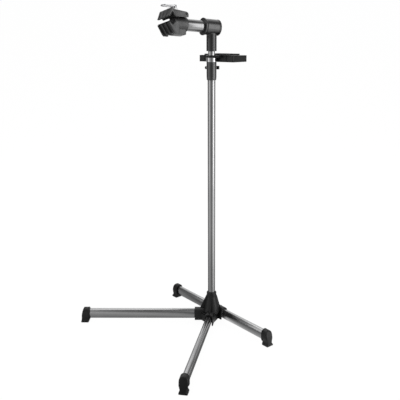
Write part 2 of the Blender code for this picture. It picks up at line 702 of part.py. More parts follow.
def build_mast():
    """Lower tube, the split sleeve at its top with bolt, nut and cam lever."""
    inner = MAST_RADIUS - MAST_WALL
    mast = pipe("mast_tube", MAST_RADIUS, inner, MAST_FOOT_Z + GAP, MAST_TOP_Z, STAND, SILVER)
    cut(mast, screw_hole)
    axis = frame("height_clamp_axis", STAND, turn=(0, 0, CLAMP_TURN))
    outer = SLEEVE_DIAMETER / 2
    sleeve = [
        (outer - 0.001, SLEEVE_TOP_Z),
        (outer, SLEEVE_TOP_Z - 0.001),
        (outer, SLEEVE_BOTTOM_Z + SLEEVE_TAPER),
        (outer - 0.0012, SLEEVE_BOTTOM_Z),
        (MAST_RADIUS + GAP, SLEEVE_BOTTOM_Z),
        (MAST_RADIUS + GAP, MAST_TOP_Z + GAP),
        (POST_RADIUS + RUNNING_GAP, MAST_TOP_Z + GAP),
        (POST_RADIUS + RUNNING_GAP, SLEEVE_TOP_Z),
    ]
    clamp = turned("height_clamp", sleeve, axis, BLACK, hollow=True)
    boss_out = outer + BOSS_REACH
    boss_in = MAST_RADIUS + GAP + 0.0015
    boss = prism(
        "clamp_boss",
        [rounded(box_outline(boss_in, boss_out, -BOSS_WIDTH / 2, BOSS_WIDTH / 2), 0.003)],
        BOSS_HEIGHT,
        axis,
        at=(0, 0, BOSS_Z),
    )
    join(clamp, boss)
    slit = prism(
        "clamp_slit",
        [box_outline(POST_RADIUS - 0.004, boss_out + 0.004, -SLIT_WIDTH / 2, SLIT_WIDTH / 2)],
        SLEEVE_LENGTH + 0.010,
        axis,
        at=(0, 0, (SLEEVE_BOTTOM_Z + SLEEVE_TOP_Z) / 2),
    )
    bolt_radius = CLAMP_BOLT_DIAMETER / 2
    bolt_at = (BOSS_CENTRE + 0.0015, 0, BOSS_Z)
    bolt_hole = rod("clamp_bolt_hole", bolt_radius + GAP, -0.05, 0.05, axis, at=bolt_at, along=ALONG_Y)
    cut(clamp, slit, bolt_hole)
    nut_seat = BOSS_WIDTH / 2 + GAP
    bolt_end = nut_seat + CLAMP_NUT_HEIGHT + 0.0015
    bolt = rod("clamp_bolt", bolt_radius, -bolt_end, CAM_PLACE + bolt_radius, axis, ZINC, bolt_at, ALONG_Y, chamfer=0.0006)
    cam_at = (bolt_at[0], -CAM_PLACE, BOSS_Z)
    pin_hole = rod("cam_pin_hole", CAM_PIN_DIAMETER / 2 + RUNNING_GAP, -0.02, 0.02, axis, at=cam_at)
    cut(bolt, pin_hole)
    nut = prism(
        "clamp_nut",
        [hexagon(CLAMP_NUT_ACROSS)],
        CLAMP_NUT_HEIGHT,
        axis,
        ZINC,
        at=(bolt_at[0], nut_seat + CLAMP_NUT_HEIGHT / 2, BOSS_Z),
        lay=IN_XZ,
    )
    cut(nut, bolt_hole)
    arm_in = boss_out + GAP * 4 - bolt_at[0]
    arm_out = arm_in + LEVER_THICKNESS
    cam = CAM_DIAMETER / 2
    lever = prism(
        "cam_lever",
        [
            arc((0, 0), cam, 100, 300, 10)
            + rounded(
                [
                    (arm_out - 0.003, -cam),
                    (arm_out, -cam + 0.004),
                    (arm_out + 0.001, LEVER_LENGTH - cam),
                    (arm_in + 0.0015, LEVER_LENGTH - cam),
                    (arm_in, cam * 0.9),
                    (arm_in - 0.002, cam * 0.8),
                ],
                0.002,
            )
        ],
        CAM_HEIGHT,
        axis,
        BLACK,
        at=cam_at,
    )
    fork = prism(
        "cam_fork",
        [box_outline(-2 * cam, arm_in - 0.0015, -1.3 * cam, 2 * cam)],
        CLAMP_BOLT_DIAMETER + 4 * GAP,
        axis,
        at=cam_at,
    )
    cut(lever, fork, pin_hole)
    pin_half = CAM_HEIGHT / 2 - GAP
    rod("cam_pin", CAM_PIN_DIAMETER / 2, -pin_half, pin_half, axis, ZINC, cam_at, chamfer=0.0004)


def build_post(axis):
    """Inner tube that slides and turns in the mast, its guide bush and the chrome stop collar."""
    inner = POST_RADIUS - POST_WALL
    tee_seat = TEE_BOTTOM_Z + TEE_SOCKET_DEPTH
    pipe("inner_tube", POST_RADIUS, inner, POST_BOTTOM_Z, tee_seat - GAP, axis, SILVER)
    guide = MAST_RADIUS - MAST_WALL - 0.0002
    plug = inner - RUNNING_GAP
    bush = [
        (plug - 0.003, POST_BOTTOM_Z + 0.025),
        (plug, POST_BOTTOM_Z + 0.022),
        (plug, POST_BOTTOM_Z - RUNNING_GAP),
        (guide, POST_BOTTOM_Z - RUNNING_GAP),
        (guide, POST_BOTTOM_Z - 0.012),
        (guide - 0.001, POST_BOTTOM_Z - 0.013),
        (plug - 0.003, POST_BOTTOM_Z - 0.013),
    ]
    turned("slide_bush", bush, STAND, BUSH, hollow=True)
    outer = COLLAR_DIAMETER / 2
    bore = POST_RADIUS + GAP
    ring = [
        (outer - 0.0012, COLLAR_TOP_Z),
        (outer, COLLAR_TOP_Z - 0.0012),
        (outer, COLLAR_BOTTOM_Z + 0.0012),
        (outer - 0.0012, COLLAR_BOTTOM_Z),
        (bore, COLLAR_BOTTOM_Z),
        (bore, COLLAR_TOP_Z),
    ]
    collar = turned("stop_collar", ring, axis, CHROME, hollow=True)
    screw_at = (0, 0, (COLLAR_BOTTOM_Z + COLLAR_TOP_Z) / 2)
    across = (0.0, -math.pi / 2, 0.0)
    hole = rod("collar_screw_hole", 0.0025 + GAP, POST_RADIUS - 0.001, outer + 0.004, axis, at=screw_at, along=across)
    cut(collar, hole)
    rod("collar_screw", 0.0025, POST_RADIUS + GAP, outer - 0.0005, axis, ZINC, screw_at, across, chamfer=0.0004)


def build_tray():
    """Moulded tool tray with its half of the pole ring, the band that closes the ring, and two screws."""
    axis = frame("tray_axis", STAND, turn=(0, 0, TRAY_TURN))
    back = TRAY_STANDOFF
    front = back + TRAY_DEPTH
    half = TRAY_LENGTH / 2
    top = TRAY_TOP_Z
    rim = top + TRAY_RISE
    low, high = -half + TRAY_SLOT_END, half - TRAY_KEY_END
    tray = prism(
        "tool_tray",
        [rounded(box_outline(back, front, -half, half), TRAY_CORNER)],
        TRAY_DECK_HEIGHT,
        axis,
        BLACK,
        at=(0, 0, top - TRAY_DECK_HEIGHT / 2),
    )
    raised = prism(
        "tray_raised_rim",
        [rounded(box_outline(back + 0.0004, front - 0.0004, low, high), 0.002)],
        TRAY_RISE * 2,
        axis,
        at=(0, 0, top),
    )
    join(tray, raised)
    bin_floor = TRAY_BOTTOM_Z + TRAY_FLOOR
    bin_depth = rim - bin_floor + 0.010
    bin_z = bin_floor + bin_depth / 2
    split = back + TRAY_WALL + TRAY_BACK_BIN
    inner_low, inner_high = low + TRAY_WALL, high - TRAY_WALL
    bins = [box_outline(split + TRAY_WALL, front - TRAY_WALL, inner_low, inner_high)]
    small = (inner_high - inner_low - 2 * TRAY_WALL) / 3
    for i in range(3):
        start = inner_low + i * (small + TRAY_WALL)
        bins.append(box_outline(back + TRAY_WALL, split, start, start + small))
    for i, outline in enumerate(bins):
        cut(tray, prism(f"tray_bin_{i}", [rounded(outline, 0.003)], bin_depth, axis, at=(0, 0, bin_z)))
    hollow = TRAY_DECK_HEIGHT - TRAY_DECK + 0.005
    hollow_z = top - TRAY_DECK - hollow / 2
    ends = ((-half + TRAY_WALL, low - TRAY_WALL), (high + TRAY_WALL, half - TRAY_WALL))
    for i, (start, end) in enumerate(ends):
        outline = rounded(box_outline(back + TRAY_WALL, front - TRAY_WALL, start, end), 0.004)
        cut(tray, prism(f"tray_under_{i}", [outline], hollow, axis, at=(0, 0, hollow_z)))
    openings = []
    row = low - TRAY_WALL - 0.0045
    for i in range(5):
        place_x = back + TRAY_DEPTH * (0.32 + 0.14 * i)
        openings.append(circle((place_x, row), 0.0040 - 0.0005 * i, 12))
    outer_row = -half + TRAY_WALL + 0.009
    for share, length, width in ((0.42, 0.024, 0.007), (0.78, 0.020, 0.008)):
        slot = [(back + TRAY_DEPTH * share + y, outer_row + x) for x, y in oval(width, length, 6)]
        openings.append(slot)
    corner = back + 0.012
    openings.append(rounded(box_outline(corner - 0.006, corner + 0.006, outer_row - 0.003, outer_row + 0.011), 0.002))
    key_row = (high + half) / 2
    for share, radius in ((0.17, 0.0070), (0.42, 0.0065), (0.65, 0.0060)):
        x = back + TRAY_DEPTH * share
        openings.append(circle((x, key_row), radius, 16))
        openings.append(circle((x - radius, key_row + 0.0015), radius * 0.6, 12))
    for share, shift in ((0.82, 0.004), (0.92, -0.004)):
        openings.append(circle((back + TRAY_DEPTH * share, key_row + shift), 0.003, 12))
    for i, outline in enumerate(openings):
        cut(tray, prism(f"tray_opening_{i}", [outline], 4 * TRAY_DECK, axis, at=(0, 0, top)))
    bore = POST_RADIUS + RUNNING_GAP
    ring = bore + RING_WALL
    ear = ring + RING_EAR
    ring_z = (RING_BOTTOM_Z + RING_TOP_Z) / 2
    split_gap = GAP / 2
    bridge = box_outline(split_gap, back + 0.001, -ear, ear)
    holder = prism("tray_holder", [rounded(bridge, 0.002)], RING_HEIGHT, axis, at=(0, 0, ring_z))
    pole = rod("tray_pole_bore", bore, RING_BOTTOM_Z - 0.01, RING_TOP_Z + 0.01, axis, steps=ROUND_STEPS)
    join(tray, holder)
    band_outline = arc((-split_gap, 0), ring, 90, 270, 14)
    ear_thick = 0.006
    band_outline = (
        [(-split_gap, ring), (-split_gap, ear), (-ear_thick, ear), (-ear_thick, math.sqrt(ring**2 - ear_thick**2))]
        + [p for p in band_outline if p[0] < -ear_thick - 0.0005]
        + [(-ear_thick, -math.sqrt(ring**2 - ear_thick**2)), (-ear_thick, -ear), (-split_gap, -ear), (-split_gap, -ring)]
    )
    band = prism("tray_band", [band_outline], RING_HEIGHT, axis, BLACK, at=(0, 0, ring_z))
    radius = TRAY_SCREW_DIAMETER / 2
    seat = ear_thick + GAP
    for side, y in (("left", -1), ("right", 1)):
        at = (0, y * (ring + RING_EAR / 2), ring_z)
        screw = [
            (0.0, seat + 0.002),
            (radius * 1.4, seat + 0.002),
            (radius * 1.8, seat + 0.001),
            (radius * 1.8, seat),
            (radius, seat),
            (radius, -back + 0.006),
            (0.0, -back + 0.005),
        ]
        across = (0.0, -math.pi / 2, 0.0)
        turned(f"tray_screw_{side}", screw, axis, ZINC, at=at, along=across, steps=SMALL_STEPS)
        hole = rod(f"tray_screw_hole_{side}", radius + GAP, -back + 0.004, 0.02, axis, at=at, along=across)
        cut(tray, hole)
        cut(band, hole)
    cut(tray, pole)
    cut(band, pole)


def build_tee(head, axis):
    """Tee on top of the inner tube, with the knob and draw bolt that lock the arm in its barrel."""
    socket_radius = TEE_SOCKET_DIAMETER / 2
    socket = [
        (0.0, ARM_Z),
        (socket_radius, ARM_Z),
        (socket_radius, TEE_BOTTOM_Z + 0.0015),
        (socket_radius - 0.0015, TEE_BOTTOM_Z),
        (0.0, TEE_BOTTOM_Z),
    ]
    tee = turned("tee_piece", socket, head, BLACK)
    barrel_radius = TEE_BARREL_DIAMETER / 2
    flange = TEE_FLANGE_DIAMETER / 2
    barrel = turned(
        "tee_barrel",
        [
            (0.0, TEE_FRONT),
            (flange - 0.001, TEE_FRONT),
            (flange, TEE_FRONT - 0.001),
            (flange, TEE_FRONT - TEE_FLANGE_WIDTH),
            (barrel_radius + 0.0012, TEE_FRONT - TEE_FLANGE_WIDTH - TEE_FLARE / 2),
            (barrel_radius, TEE_FRONT - TEE_FLANGE_WIDTH - TEE_FLARE),
            (barrel_radius, 0.002 - TEE_REAR),
            (barrel_radius - 0.002, -TEE_REAR),
            (0.0, -TEE_REAR),
        ],
        axis,
        along=ALONG_X,
    )
    bolt_radius = DRAW_BOLT_DIAMETER / 2
    bore = turned(
        "tee_arm_bore",
        [
            (0.0, TEE_FRONT + 0.02),
            (ARM_RADIUS + RUNNING_GAP, TEE_FRONT + 0.02),
            (ARM_RADIUS + RUNNING_GAP, -TEE_REAR + TEE_REAR_WALL),
            (bolt_radius + RUNNING_GAP, -TEE_REAR + TEE_REAR_WALL),
            (bolt_radius + RUNNING_GAP, -TEE_REAR - 0.02),
            (0.0, -TEE_REAR - 0.02),
        ],
        axis,
        along=ALONG_X,
    )
    post_bore = rod(
        "tee_post_bore", POST_RADIUS + GAP, TEE_BOTTOM_Z - 0.01, TEE_BOTTOM_Z + TEE_SOCKET_DEPTH, head, steps=ROUND_STEPS
    )
    join(tee, barrel)
    cut(tee, bore, post_bore)
    knob_radius = KNOB_DIAMETER / 2
    near = -TEE_REAR - RUNNING_GAP
    far = near - KNOB_WIDTH
    bolt_end = far + 0.004
    knob = [
        (0.0, near),
        (knob_radius - 0.001, near),
        (knob_radius, near - 0.001),
        (knob_radius, far + 0.004),
        (knob_radius - 0.0015, far + 0.0012),
        (knob_radius - 0.005, far),
        (0.0, far),
    ]
    lock = turned("lock_knob", knob, axis, BLACK, along=ALONG_X)
    cut(lock, rod("knob_bolt_hole", bolt_radius + GAP, bolt_end, near + 0.01, axis, along=ALONG_X))
    bolt_tip = ARM_INNER + ARM_PLUG_LENGTH + 0.004
    rod("draw_bolt", bolt_radius, bolt_end + GAP, bolt_tip, axis, ZINC, along=ALONG_X, chamfer=0.0008)


def build_arm(axis):
    """Arm tube with its end plug, turning in the tee."""
    inner = ARM_RADIUS - ARM_WALL
    pipe("arm_tube", ARM_RADIUS, inner, ARM_INNER, ARM_OUTER, axis, SILVER, along=ALONG_X)
    start = ARM_INNER + GAP
    pipe(
        "arm_plug",
        inner - GAP,
        DRAW_BOLT_DIAMETER / 2 + RUNNING_GAP,
        start,
        start + ARM_PLUG_LENGTH,
        axis,
        ZINC,
        along=ALONG_X,
    )


def ribbed(name, outline, core, axis):
    """A jaw's plates joined by a core that stands back from them at the tip."""
    core_solid = prism(name + "_core", [core], JAW_LENGTH - 0.001, axis, lay=IN_XZ)
    plates = [core_solid]
    pitch = (JAW_LENGTH - JAW_RIB_THICKNESS) / (JAW_RIB_COUNT - 1)
    for i in range(JAW_RIB_COUNT):
        y = (i - (JAW_RIB_COUNT - 1) / 2) * pitch
        plates.append(prism(f"{name}_plate_{i}", [outline], JAW_RIB_THICKNESS, axis, at=(0, y, 0), lay=IN_XZ))
    return plates


def build_clamp_body(axis):
    """Lower jaw with the arm's socket, the hinge lug and the nut for the clamp screw."""
    boss_end = JAW_BACK + 0.004
    body = rod(
        "clamp_body", BODY_BOSS_RADIUS, BODY_START, boss_end, axis, BLACK, along=ALONG_X, steps=ROUND_STEPS, chamfer=0.0015
    )
    block_end = SPINDLE_PLACE + 0.008
    block = prism(
        "body_block",
        [rounded(box_outline(BODY_BLOCK_START, block_end, BODY_BOTTOM + 0.0006, 0.004), 0.004)],
        BODY_BLOCK_WIDTH,
        axis,
        lay=IN_XZ,
    )
    lug = HINGE_LUG_RADIUS
    lug_outline = arc((HINGE_PLACE, HINGE_HEIGHT), lug, 0, 180)
    lug_outline += [(HINGE_PLACE - lug, 0.007), (HINGE_PLACE + lug, 0.007)]
    hinge_lug = prism("hinge_lug", [lug_outline], HINGE_LUG_WIDTH, axis, lay=IN_XZ)
    core = [(x, h - 0.0005) for x, h in LOWER_JAW]
    for i in (3, 4, 5, 6):
        core[i] = (LOWER_JAW[i][0] - JAW_RIB_DEPTH, LOWER_JAW[i][1] + (-0.0008 if i < 5 else JAW_RIB_DEPTH * 0.6))
    core[7] = (LOWER_JAW[7][0] - JAW_RIB_DEPTH, BODY_BOTTOM + JAW_RIB_DEPTH)
    core[8] = (JAW_BACK + 0.0005, BODY_BOTTOM + JAW_RIB_DEPTH)
    core[0] = (JAW_BACK + 0.0005, core[0][1])
    join(body, block, hinge_lug, *ribbed("lower_jaw", rounded(LOWER_JAW, 0.002), core, axis))
    spindle_at = (SPINDLE_PLACE, 0, 0)
    spindle_hole = rod("body_spindle_hole", SPINDLE_DIAMETER / 2 + RUNNING_GAP, -0.06, 0.06, axis, at=spindle_at)
    nut_radius = THRUST_BARREL_DIAMETER / 2
    nut_at = (SPINDLE_PLACE, 0, BARREL_NUT_HEIGHT)
    nut_half = BARREL_NUT_LENGTH / 2
    nut_bore = rod("body_nut_bore", nut_radius + GAP, -nut_half - GAP, JAW_LENGTH, axis, at=nut_at, along=ALONG_Y)
    arm_bore = rod(
        "body_arm_bore", ARM_RADIUS + GAP, BODY_START - 0.01, GAP, axis, along=ALONG_X, steps=ROUND_STEPS
    )
    outline = groove_cutter(
        GROOVE_PLACE, LOWER_GROOVE_HEIGHT, LOWER_GROOVE_DEPTH, PAD_THICKNESS, LOWER_GROOVE_ANGLE, 1
    )
    pad_pocket = prism("lower_pad_pocket", [outline], JAW_LENGTH + 0.02, axis, lay=IN_XZ)
    shelf = box_outline(HINGE_PLACE + lug + 0.003, JAW_TIP, 0.0215, BODY_BOSS_RADIUS + 0.01)
    jaw_room = prism("body_jaw_room", [shelf], JAW_LENGTH, axis, lay=IN_XZ)
    pin_at = (HINGE_PLACE, 0, HINGE_HEIGHT)
    pin_hole = rod("jaw_pin_hole", JAW_PIN_DIAMETER / 2 + RUNNING_GAP, -0.06, 0.06, axis, at=pin_at, along=ALONG_Y)
    radius = SCREW_DIAMETER / 2
    screw_at = (BODY_BLOCK_START / 2, 0, 0)
    head_seat = BODY_BOTTOM + 0.006
    tip = -ARM_RADIUS + ARM_WALL + 0.002
    screw_hole_low = rod("arm_screw_hole", radius + GAP, BODY_BOTTOM - 0.01, tip + 0.002, axis, at=screw_at)
    seat_hole = turned(
        "arm_screw_seat",
        [
            (0.0, tip + 0.002),
            (radius + GAP, tip + 0.002),
            (radius + GAP, head_seat),
            (radius * 1.9 + GAP, head_seat),
            (radius * 1.9 + GAP, BODY_BOTTOM - 0.01),
            (0.0, BODY_BOTTOM - 0.01),
        ],
        axis,
        at=screw_at,
        steps=SMALL_STEPS,
    )
    cut(body, jaw_room, arm_bore, spindle_hole, nut_bore, pad_pocket, pin_hole, seat_hole)
    cut(bpy.data.objects["arm_tube"], screw_hole_low)
    head = head_seat - GAP
    screw = [
        (0.0, tip),
        (radius, tip - 0.001),
        (radius, head),
        (radius * 1.9, head),
        (radius * 1.9, head - 0.002),
        (radius * 1.4, head - 0.0034),
        (0.0, head - 0.0034),
    ]
    turned("arm_screw", screw, axis, ZINC, at=screw_at, steps=SMALL_STEPS)
    prism(
        "lower_pad",
        [groove(GROOVE_PLACE, LOWER_GROOVE_HEIGHT, LOWER_GROOVE_DEPTH, PAD_THICKNESS, LOWER_GROOVE_ANGLE, 1)],
        JAW_LENGTH - 0.001,
        axis,
        RUBBER,
        lay=IN_XZ,
    )
    nut = rod("barrel_nut", nut_radius, -nut_half, nut_half, axis, ZINC, nut_at, ALONG_Y, steps=24, chamfer=0.0008)
    cut(nut, spindle_hole)
    return pin_hole


def build_upper_jaw(axis, pin_hole):
    """Upper jaw that swings on its pin, drawn down by the clamp screw."""
    jaw = prism("upper_jaw", [rounded(UPPER_JAW_REAR, 0.002)], JAW_REAR_WIDTH, axis, BLACK, lay=IN_XZ)
    core = [(x, h - 0.0005) for x, h in UPPER_JAW_FRONT]
    for i, back, lift in ((0, -0.0005, 0.0010), (1, -0.0005, 0.0), (4, 0.0005, 0.0), (7, 0.0006, 0.0010)):
        core[i] = (core[i][0] - back, core[i][1] + lift)
    for i, share in ((5, 1.0), (6, 0.8)):
        core[i] = (core[i][0] - UPPER_RIB_DEPTH * share, core[i][1])
    join(jaw, *ribbed("upper_jaw", rounded(UPPER_JAW_FRONT, 0.002), core, axis))
    room_top = JAW_ROOM_TOP
    room = [
        (HINGE_PLACE - 0.03, -0.01),
        (GROOVE_PLACE - 0.0140, -0.01),
        (GROOVE_PLACE - 0.0140, room_top + 0.0012),
        (HINGE_PLACE - 0.03, room_top),
    ]
    body_room = prism("upper_jaw_body_room", [room], JAW_REAR_WIDTH - 2 * JAW_CHEEK, axis, lay=IN_XZ)
    lug_room = HINGE_LUG_RADIUS + 0.0025
    lug_slot = prism(
        "upper_jaw_lug_slot",
        [box_outline(HINGE_PLACE - 0.03, HINGE_PLACE + lug_room, HINGE_HEIGHT - 0.03, HINGE_HEIGHT + 0.03)],
        HINGE_LUG_WIDTH + 2 * RUNNING_GAP,
        axis,
        lay=IN_XZ,
    )
    slot = [(SPINDLE_PLACE + y, x) for x, y in oval(SPINDLE_DIAMETER + 0.002, SPINDLE_SLOT, 6)]
    spindle_slot = prism("upper_jaw_spindle_slot", [slot], 0.2, axis)
    seat = prism(
        "upper_jaw_seat",
        [
            box_outline(
                SPINDLE_PLACE - SEAT_LENGTH / 2, SPINDLE_PLACE + SEAT_LENGTH / 2, SEAT_HEIGHT, SEAT_HEIGHT + 0.03
            )
        ],
        THRUST_BARREL_LENGTH + 0.004,
        axis,
        lay=IN_XZ,
    )
    outline = groove_cutter(
        GROOVE_PLACE, UPPER_GROOVE_HEIGHT, UPPER_GROOVE_DEPTH, PAD_THICKNESS, UPPER_GROOVE_ANGLE, -1
    )
    pocket = prism("upper_pad_pocket", [outline], JAW_LENGTH + 0.02, axis, lay=IN_XZ)
    cut(jaw, body_room, lug_slot, spindle_slot, seat, pocket, pin_hole)
    pin_half = JAW_REAR_WIDTH / 2 - 0.0005
    pin_at = (HINGE_PLACE, 0, HINGE_HEIGHT)
    rod("jaw_pin", JAW_PIN_DIAMETER / 2, -pin_half, pin_half, axis, ZINC, pin_at, ALONG_Y, chamfer=0.0006)
    prism(
        "upper_pad",
        [groove(GROOVE_PLACE, UPPER_GROOVE_HEIGHT, UPPER_GROOVE_DEPTH, PAD_THICKNESS, UPPER_GROOVE_ANGLE, -1)],
        JAW_LENGTH - 0.001,
        axis,
        RUBBER,
        lay=IN_XZ,
    )


def build_clamp_screw(axis):
    """Chrome spindle with its head, the wire loop that turns it and the barrel that presses the jaw."""
    at = (SPINDLE_PLACE, 0, 0)
    barrel_radius = THRUST_BARREL_DIAMETER / 2
    barrel_height = SEAT_HEIGHT + SEAT_CLEARANCE + barrel_radius
    head_low = barrel_height + barrel_radius + RUNNING_GAP
    head_high = head_low + SPINDLE_HEAD_HEIGHT
    radius = SPINDLE_DIAMETER / 2
    head = SPINDLE_HEAD_DIAMETER / 2
    spindle = turned(
        "clamp_screw",
        [
            (0.0, head_high),
            (head - 0.0015, head_high),
            (head, head_high - 0.0015),
            (head, head_low + 0.0005),
            (head - 0.0005, head_low),
            (radius, head_low),
            (radius, SPINDLE_BOTTOM + 0.001),
            (radius - 0.001, SPINDLE_BOTTOM),
            (0.0, SPINDLE_BOTTOM),
        ],
        axis,
        CHROME,
        at=at,
        steps=24,
    )
    loop_height = (head_low + head_high) / 2
    loop_at = (SPINDLE_PLACE, 0, loop_height)
    wire_hole = rod("loop_hole", LOOP_WIRE / 2 + GAP, -0.03, 0.03, axis, at=loop_at, along=ALONG_Y)
    cut(spindle, wire_hole)
    curve = bpy.data.curves.new("handle_loop", "CURVE")
    curve.dimensions = "3D"
    curve.bevel_depth = LOOP_WIRE / 2
    curve.bevel_resolution = 2
    spline = curve.splines.new("POLY")
    corners = box_outline(0.0, LOOP_LENGTH, -LOOP_WIDTH / 2, LOOP_WIDTH / 2)
    points = rounded(corners, 0.0065, 4)
    spline.points.add(len(points) - 1)
    for point, (x, y) in zip(spline.points, points):
        point.co = (x, y, 0.0, 1.0)
    spline.use_cyclic_u = True
    loop = bpy.data.objects.new("handle_loop", curve)
    place(loop, CHROME, axis, loop_at, ALONG_Z)
    barrel_at = (SPINDLE_PLACE, 0, barrel_height)
    half = THRUST_BARREL_LENGTH / 2
    barrel = rod("thrust_barrel", barrel_radius, -half, half, axis, ZINC, barrel_at, ALONG_Y, steps=24, chamfer=0.0008)
    hole = rod("thrust_barrel_hole", radius + RUNNING_GAP, -0.03, 0.03, axis, at=barrel_at)
    cut(barrel, hole)


HEAD = frame("head_axis", STAND, turn=(0, 0, HEAD_TURN))
BARREL = frame("arm_axis", HEAD, (0, 0, ARM_Z), (0, -ARM_RISE, 0))
ARM = frame("arm_roll_axis", BARREL, turn=(CLAMP_ROLL, 0, 0))
CLAMP = frame("clamp_axis", ARM, (ARM_OUTER, 0, 0))
build_mast()
build_post(HEAD)
build_tray()
build_tee(HEAD, BARREL)
build_arm(ARM)
jaw_pin_hole = build_clamp_body(CLAMP)
build_upper_jaw(CLAMP, jaw_pin_hole)
build_clamp_screw(CLAMP)


def centre_on_origin():
    """Moves the stand so that the middle of its outline from above lies over the origin."""
    bpy.context.view_layer.update()
    graph = bpy.context.evaluated_depsgraph_get()
    low, high = math.inf, -math.inf
    for item in PARTS.objects:
        if item.type == "EMPTY":
            continue
        seen = item.evaluated_get(graph)
        across = [(item.matrix_world @ vertex.co).x for vertex in seen.to_mesh().vertices]
        low, high = min(low, *across), max(high, *across)
        seen.to_mesh_clear()
    STAND.location.x = -round((low + high) / 2 / CENTRE_STEP) * CENTRE_STEP


centre_on_origin()
bpy.context.view_layer.update()
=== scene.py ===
import math

import bmesh
import bpy
import numpy as np
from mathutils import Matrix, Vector, geometry


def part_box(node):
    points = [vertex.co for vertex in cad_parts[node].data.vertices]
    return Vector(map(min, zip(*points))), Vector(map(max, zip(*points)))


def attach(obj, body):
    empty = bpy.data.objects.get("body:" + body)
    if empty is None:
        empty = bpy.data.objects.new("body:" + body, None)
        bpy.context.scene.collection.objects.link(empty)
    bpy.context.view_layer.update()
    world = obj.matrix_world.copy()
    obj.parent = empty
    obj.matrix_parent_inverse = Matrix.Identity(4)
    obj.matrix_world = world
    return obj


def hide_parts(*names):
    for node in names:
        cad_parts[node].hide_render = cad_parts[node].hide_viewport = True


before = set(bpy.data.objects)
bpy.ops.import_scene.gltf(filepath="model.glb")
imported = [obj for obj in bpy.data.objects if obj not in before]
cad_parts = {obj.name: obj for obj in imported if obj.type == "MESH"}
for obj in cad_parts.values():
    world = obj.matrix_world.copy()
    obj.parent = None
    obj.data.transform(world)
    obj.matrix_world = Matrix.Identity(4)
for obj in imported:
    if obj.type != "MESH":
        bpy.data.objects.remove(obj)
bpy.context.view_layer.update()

# Base hub: one black injection moulding, a ribbed pyramid that grips the foot of the mast in its
# collar. Four roofed sockets, open below, hold the legs on steel pins. It hangs clear of the floor.
mast_low, mast_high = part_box("mast_tube")
MAST = np.array([(mast_low.x + mast_high.x) / 2, (mast_low.y + mast_high.y) / 2, 0.0])
MAST_BORE = 0.0143
LEG_NAMES = ("front_left", "front_right", "side_left", "side_right")
LEG_TURN = dict(zip(LEG_NAMES, np.radians([220.0, 140.0, 270.0, 90.0])))
LEG_PIN = {name: np.array(sum(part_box(name + "_leg_pin"), Vector()) / 2) for name in LEG_NAMES}
LEG_AXIS = 0.034


def turn_about(axis, angle):
    """Rotation matrix about X, Y or Z: the right-hand rule in its plane."""
    c, s = math.cos(angle), math.sin(angle)
    i, j = {"X": (1, 2), "Y": (2, 0), "Z": (0, 1)}[axis]
    matrix = np.eye(3)
    matrix[i, i], matrix[i, j], matrix[j, i], matrix[j, j] = c, -s, s, c
    return matrix


# Columns say where a drawing's x, its y and its thickness go in a piece's own axes
ACROSS = np.array([[0.0, 0.0, 1.0], [1.0, 0.0, 0.0], [0.0, 1.0, 0.0]])
UPRIGHT = np.array([[1.0, 0.0, 0.0], [0.0, 0.0, -1.0], [0.0, 1.0, 0.0]])
FLAT = np.eye(3)
LEG_AXES = {name: turn_about("Z", LEG_TURN[name]) for name in LEG_NAMES}


def placed(shape, at=(0.0, 0.0, 0.0), lay=FLAT):
    """Points turned by lay and then moved to at; faces stay as they are."""
    points, faces = shape
    return points @ np.asarray(lay).T + np.asarray(at), faces


def joined(*shapes):
    """Several shapes as one: points stacked, faces shifted by the points before them."""
    points, faces, start = [], [], 0
    for some, theirs in shapes:
        points.append(some)
        faces += [tuple(i + start for i in face) for face in theirs]
        start += len(some)
    return np.vstack(points), faces


def lattice(points, wrap_rows=False, wrap_columns=False):
    """Faces of four corners between neighbours in a grid of points, wrapped where asked."""
    rows, columns = points.shape[:2]
    i = np.arange(rows if wrap_rows else rows - 1)[:, None]
    j = np.arange(columns if wrap_columns else columns - 1)[None, :]
    i2, j2 = (i + 1) % rows, (j + 1) % columns
    corners = [i * columns + j, i * columns + j2, i2 * columns + j2, i2 * columns + j]
    faces = np.stack(np.broadcast_arrays(*corners), -1).reshape(-1, 4)
    return points.reshape(-1, 3), [tuple(face) for face in faces.tolist()]


def raised(level, height):
    """Level points in a rows by columns by 2 array, each given its height: (x, y, h)."""
    return np.concatenate([level, np.broadcast_to(height, level.shape[:2])[..., None]], -1)


def arc(x, y, radius, start, end, count):
    """Points round a circle between two angles in degrees: centre + radius (cos a, sin a)."""
    a = np.radians(np.linspace(start, end, count))
    return np.stack([x + radius * np.cos(a), y + radius * np.sin(a)], -1)


def eased(corners, radius, steps=4, closed=True):
    """An outline with each corner replaced by the parabola tangent to its two sides.

    With t from 0 to 1 a point is (1-t)^2 start + 2t(1-t) corner + t^2 end.
    """
    corner = np.asarray(corners, float)
    before, after = np.roll(corner, 1, 0) - corner, np.roll(corner, -1, 0) - corner
    length_before, length_after = np.linalg.norm(before, axis=1), np.linalg.norm(after, axis=1)
    cosine = (before * after).sum(1) / (length_before * length_after)
    half = np.arccos(np.clip(cosine, -1, 1)) / 2
    reach = np.minimum(radius / np.tan(half), 0.45 * np.minimum(length_before, length_after))
    start = corner + before * (reach / length_before)[:, None]
    end = corner + after * (reach / length_after)[:, None]
    t = np.linspace(0, 1, steps + 1)[None, :, None]
    bend = start[:, None] * (1 - t) ** 2 + corner[:, None] * 2 * t * (1 - t) + end[:, None] * t**2
    if closed:
        return bend.reshape(-1, 2)
    return np.vstack([corner[:1], bend[1:-1].reshape(-1, 2), corner[-1:]])


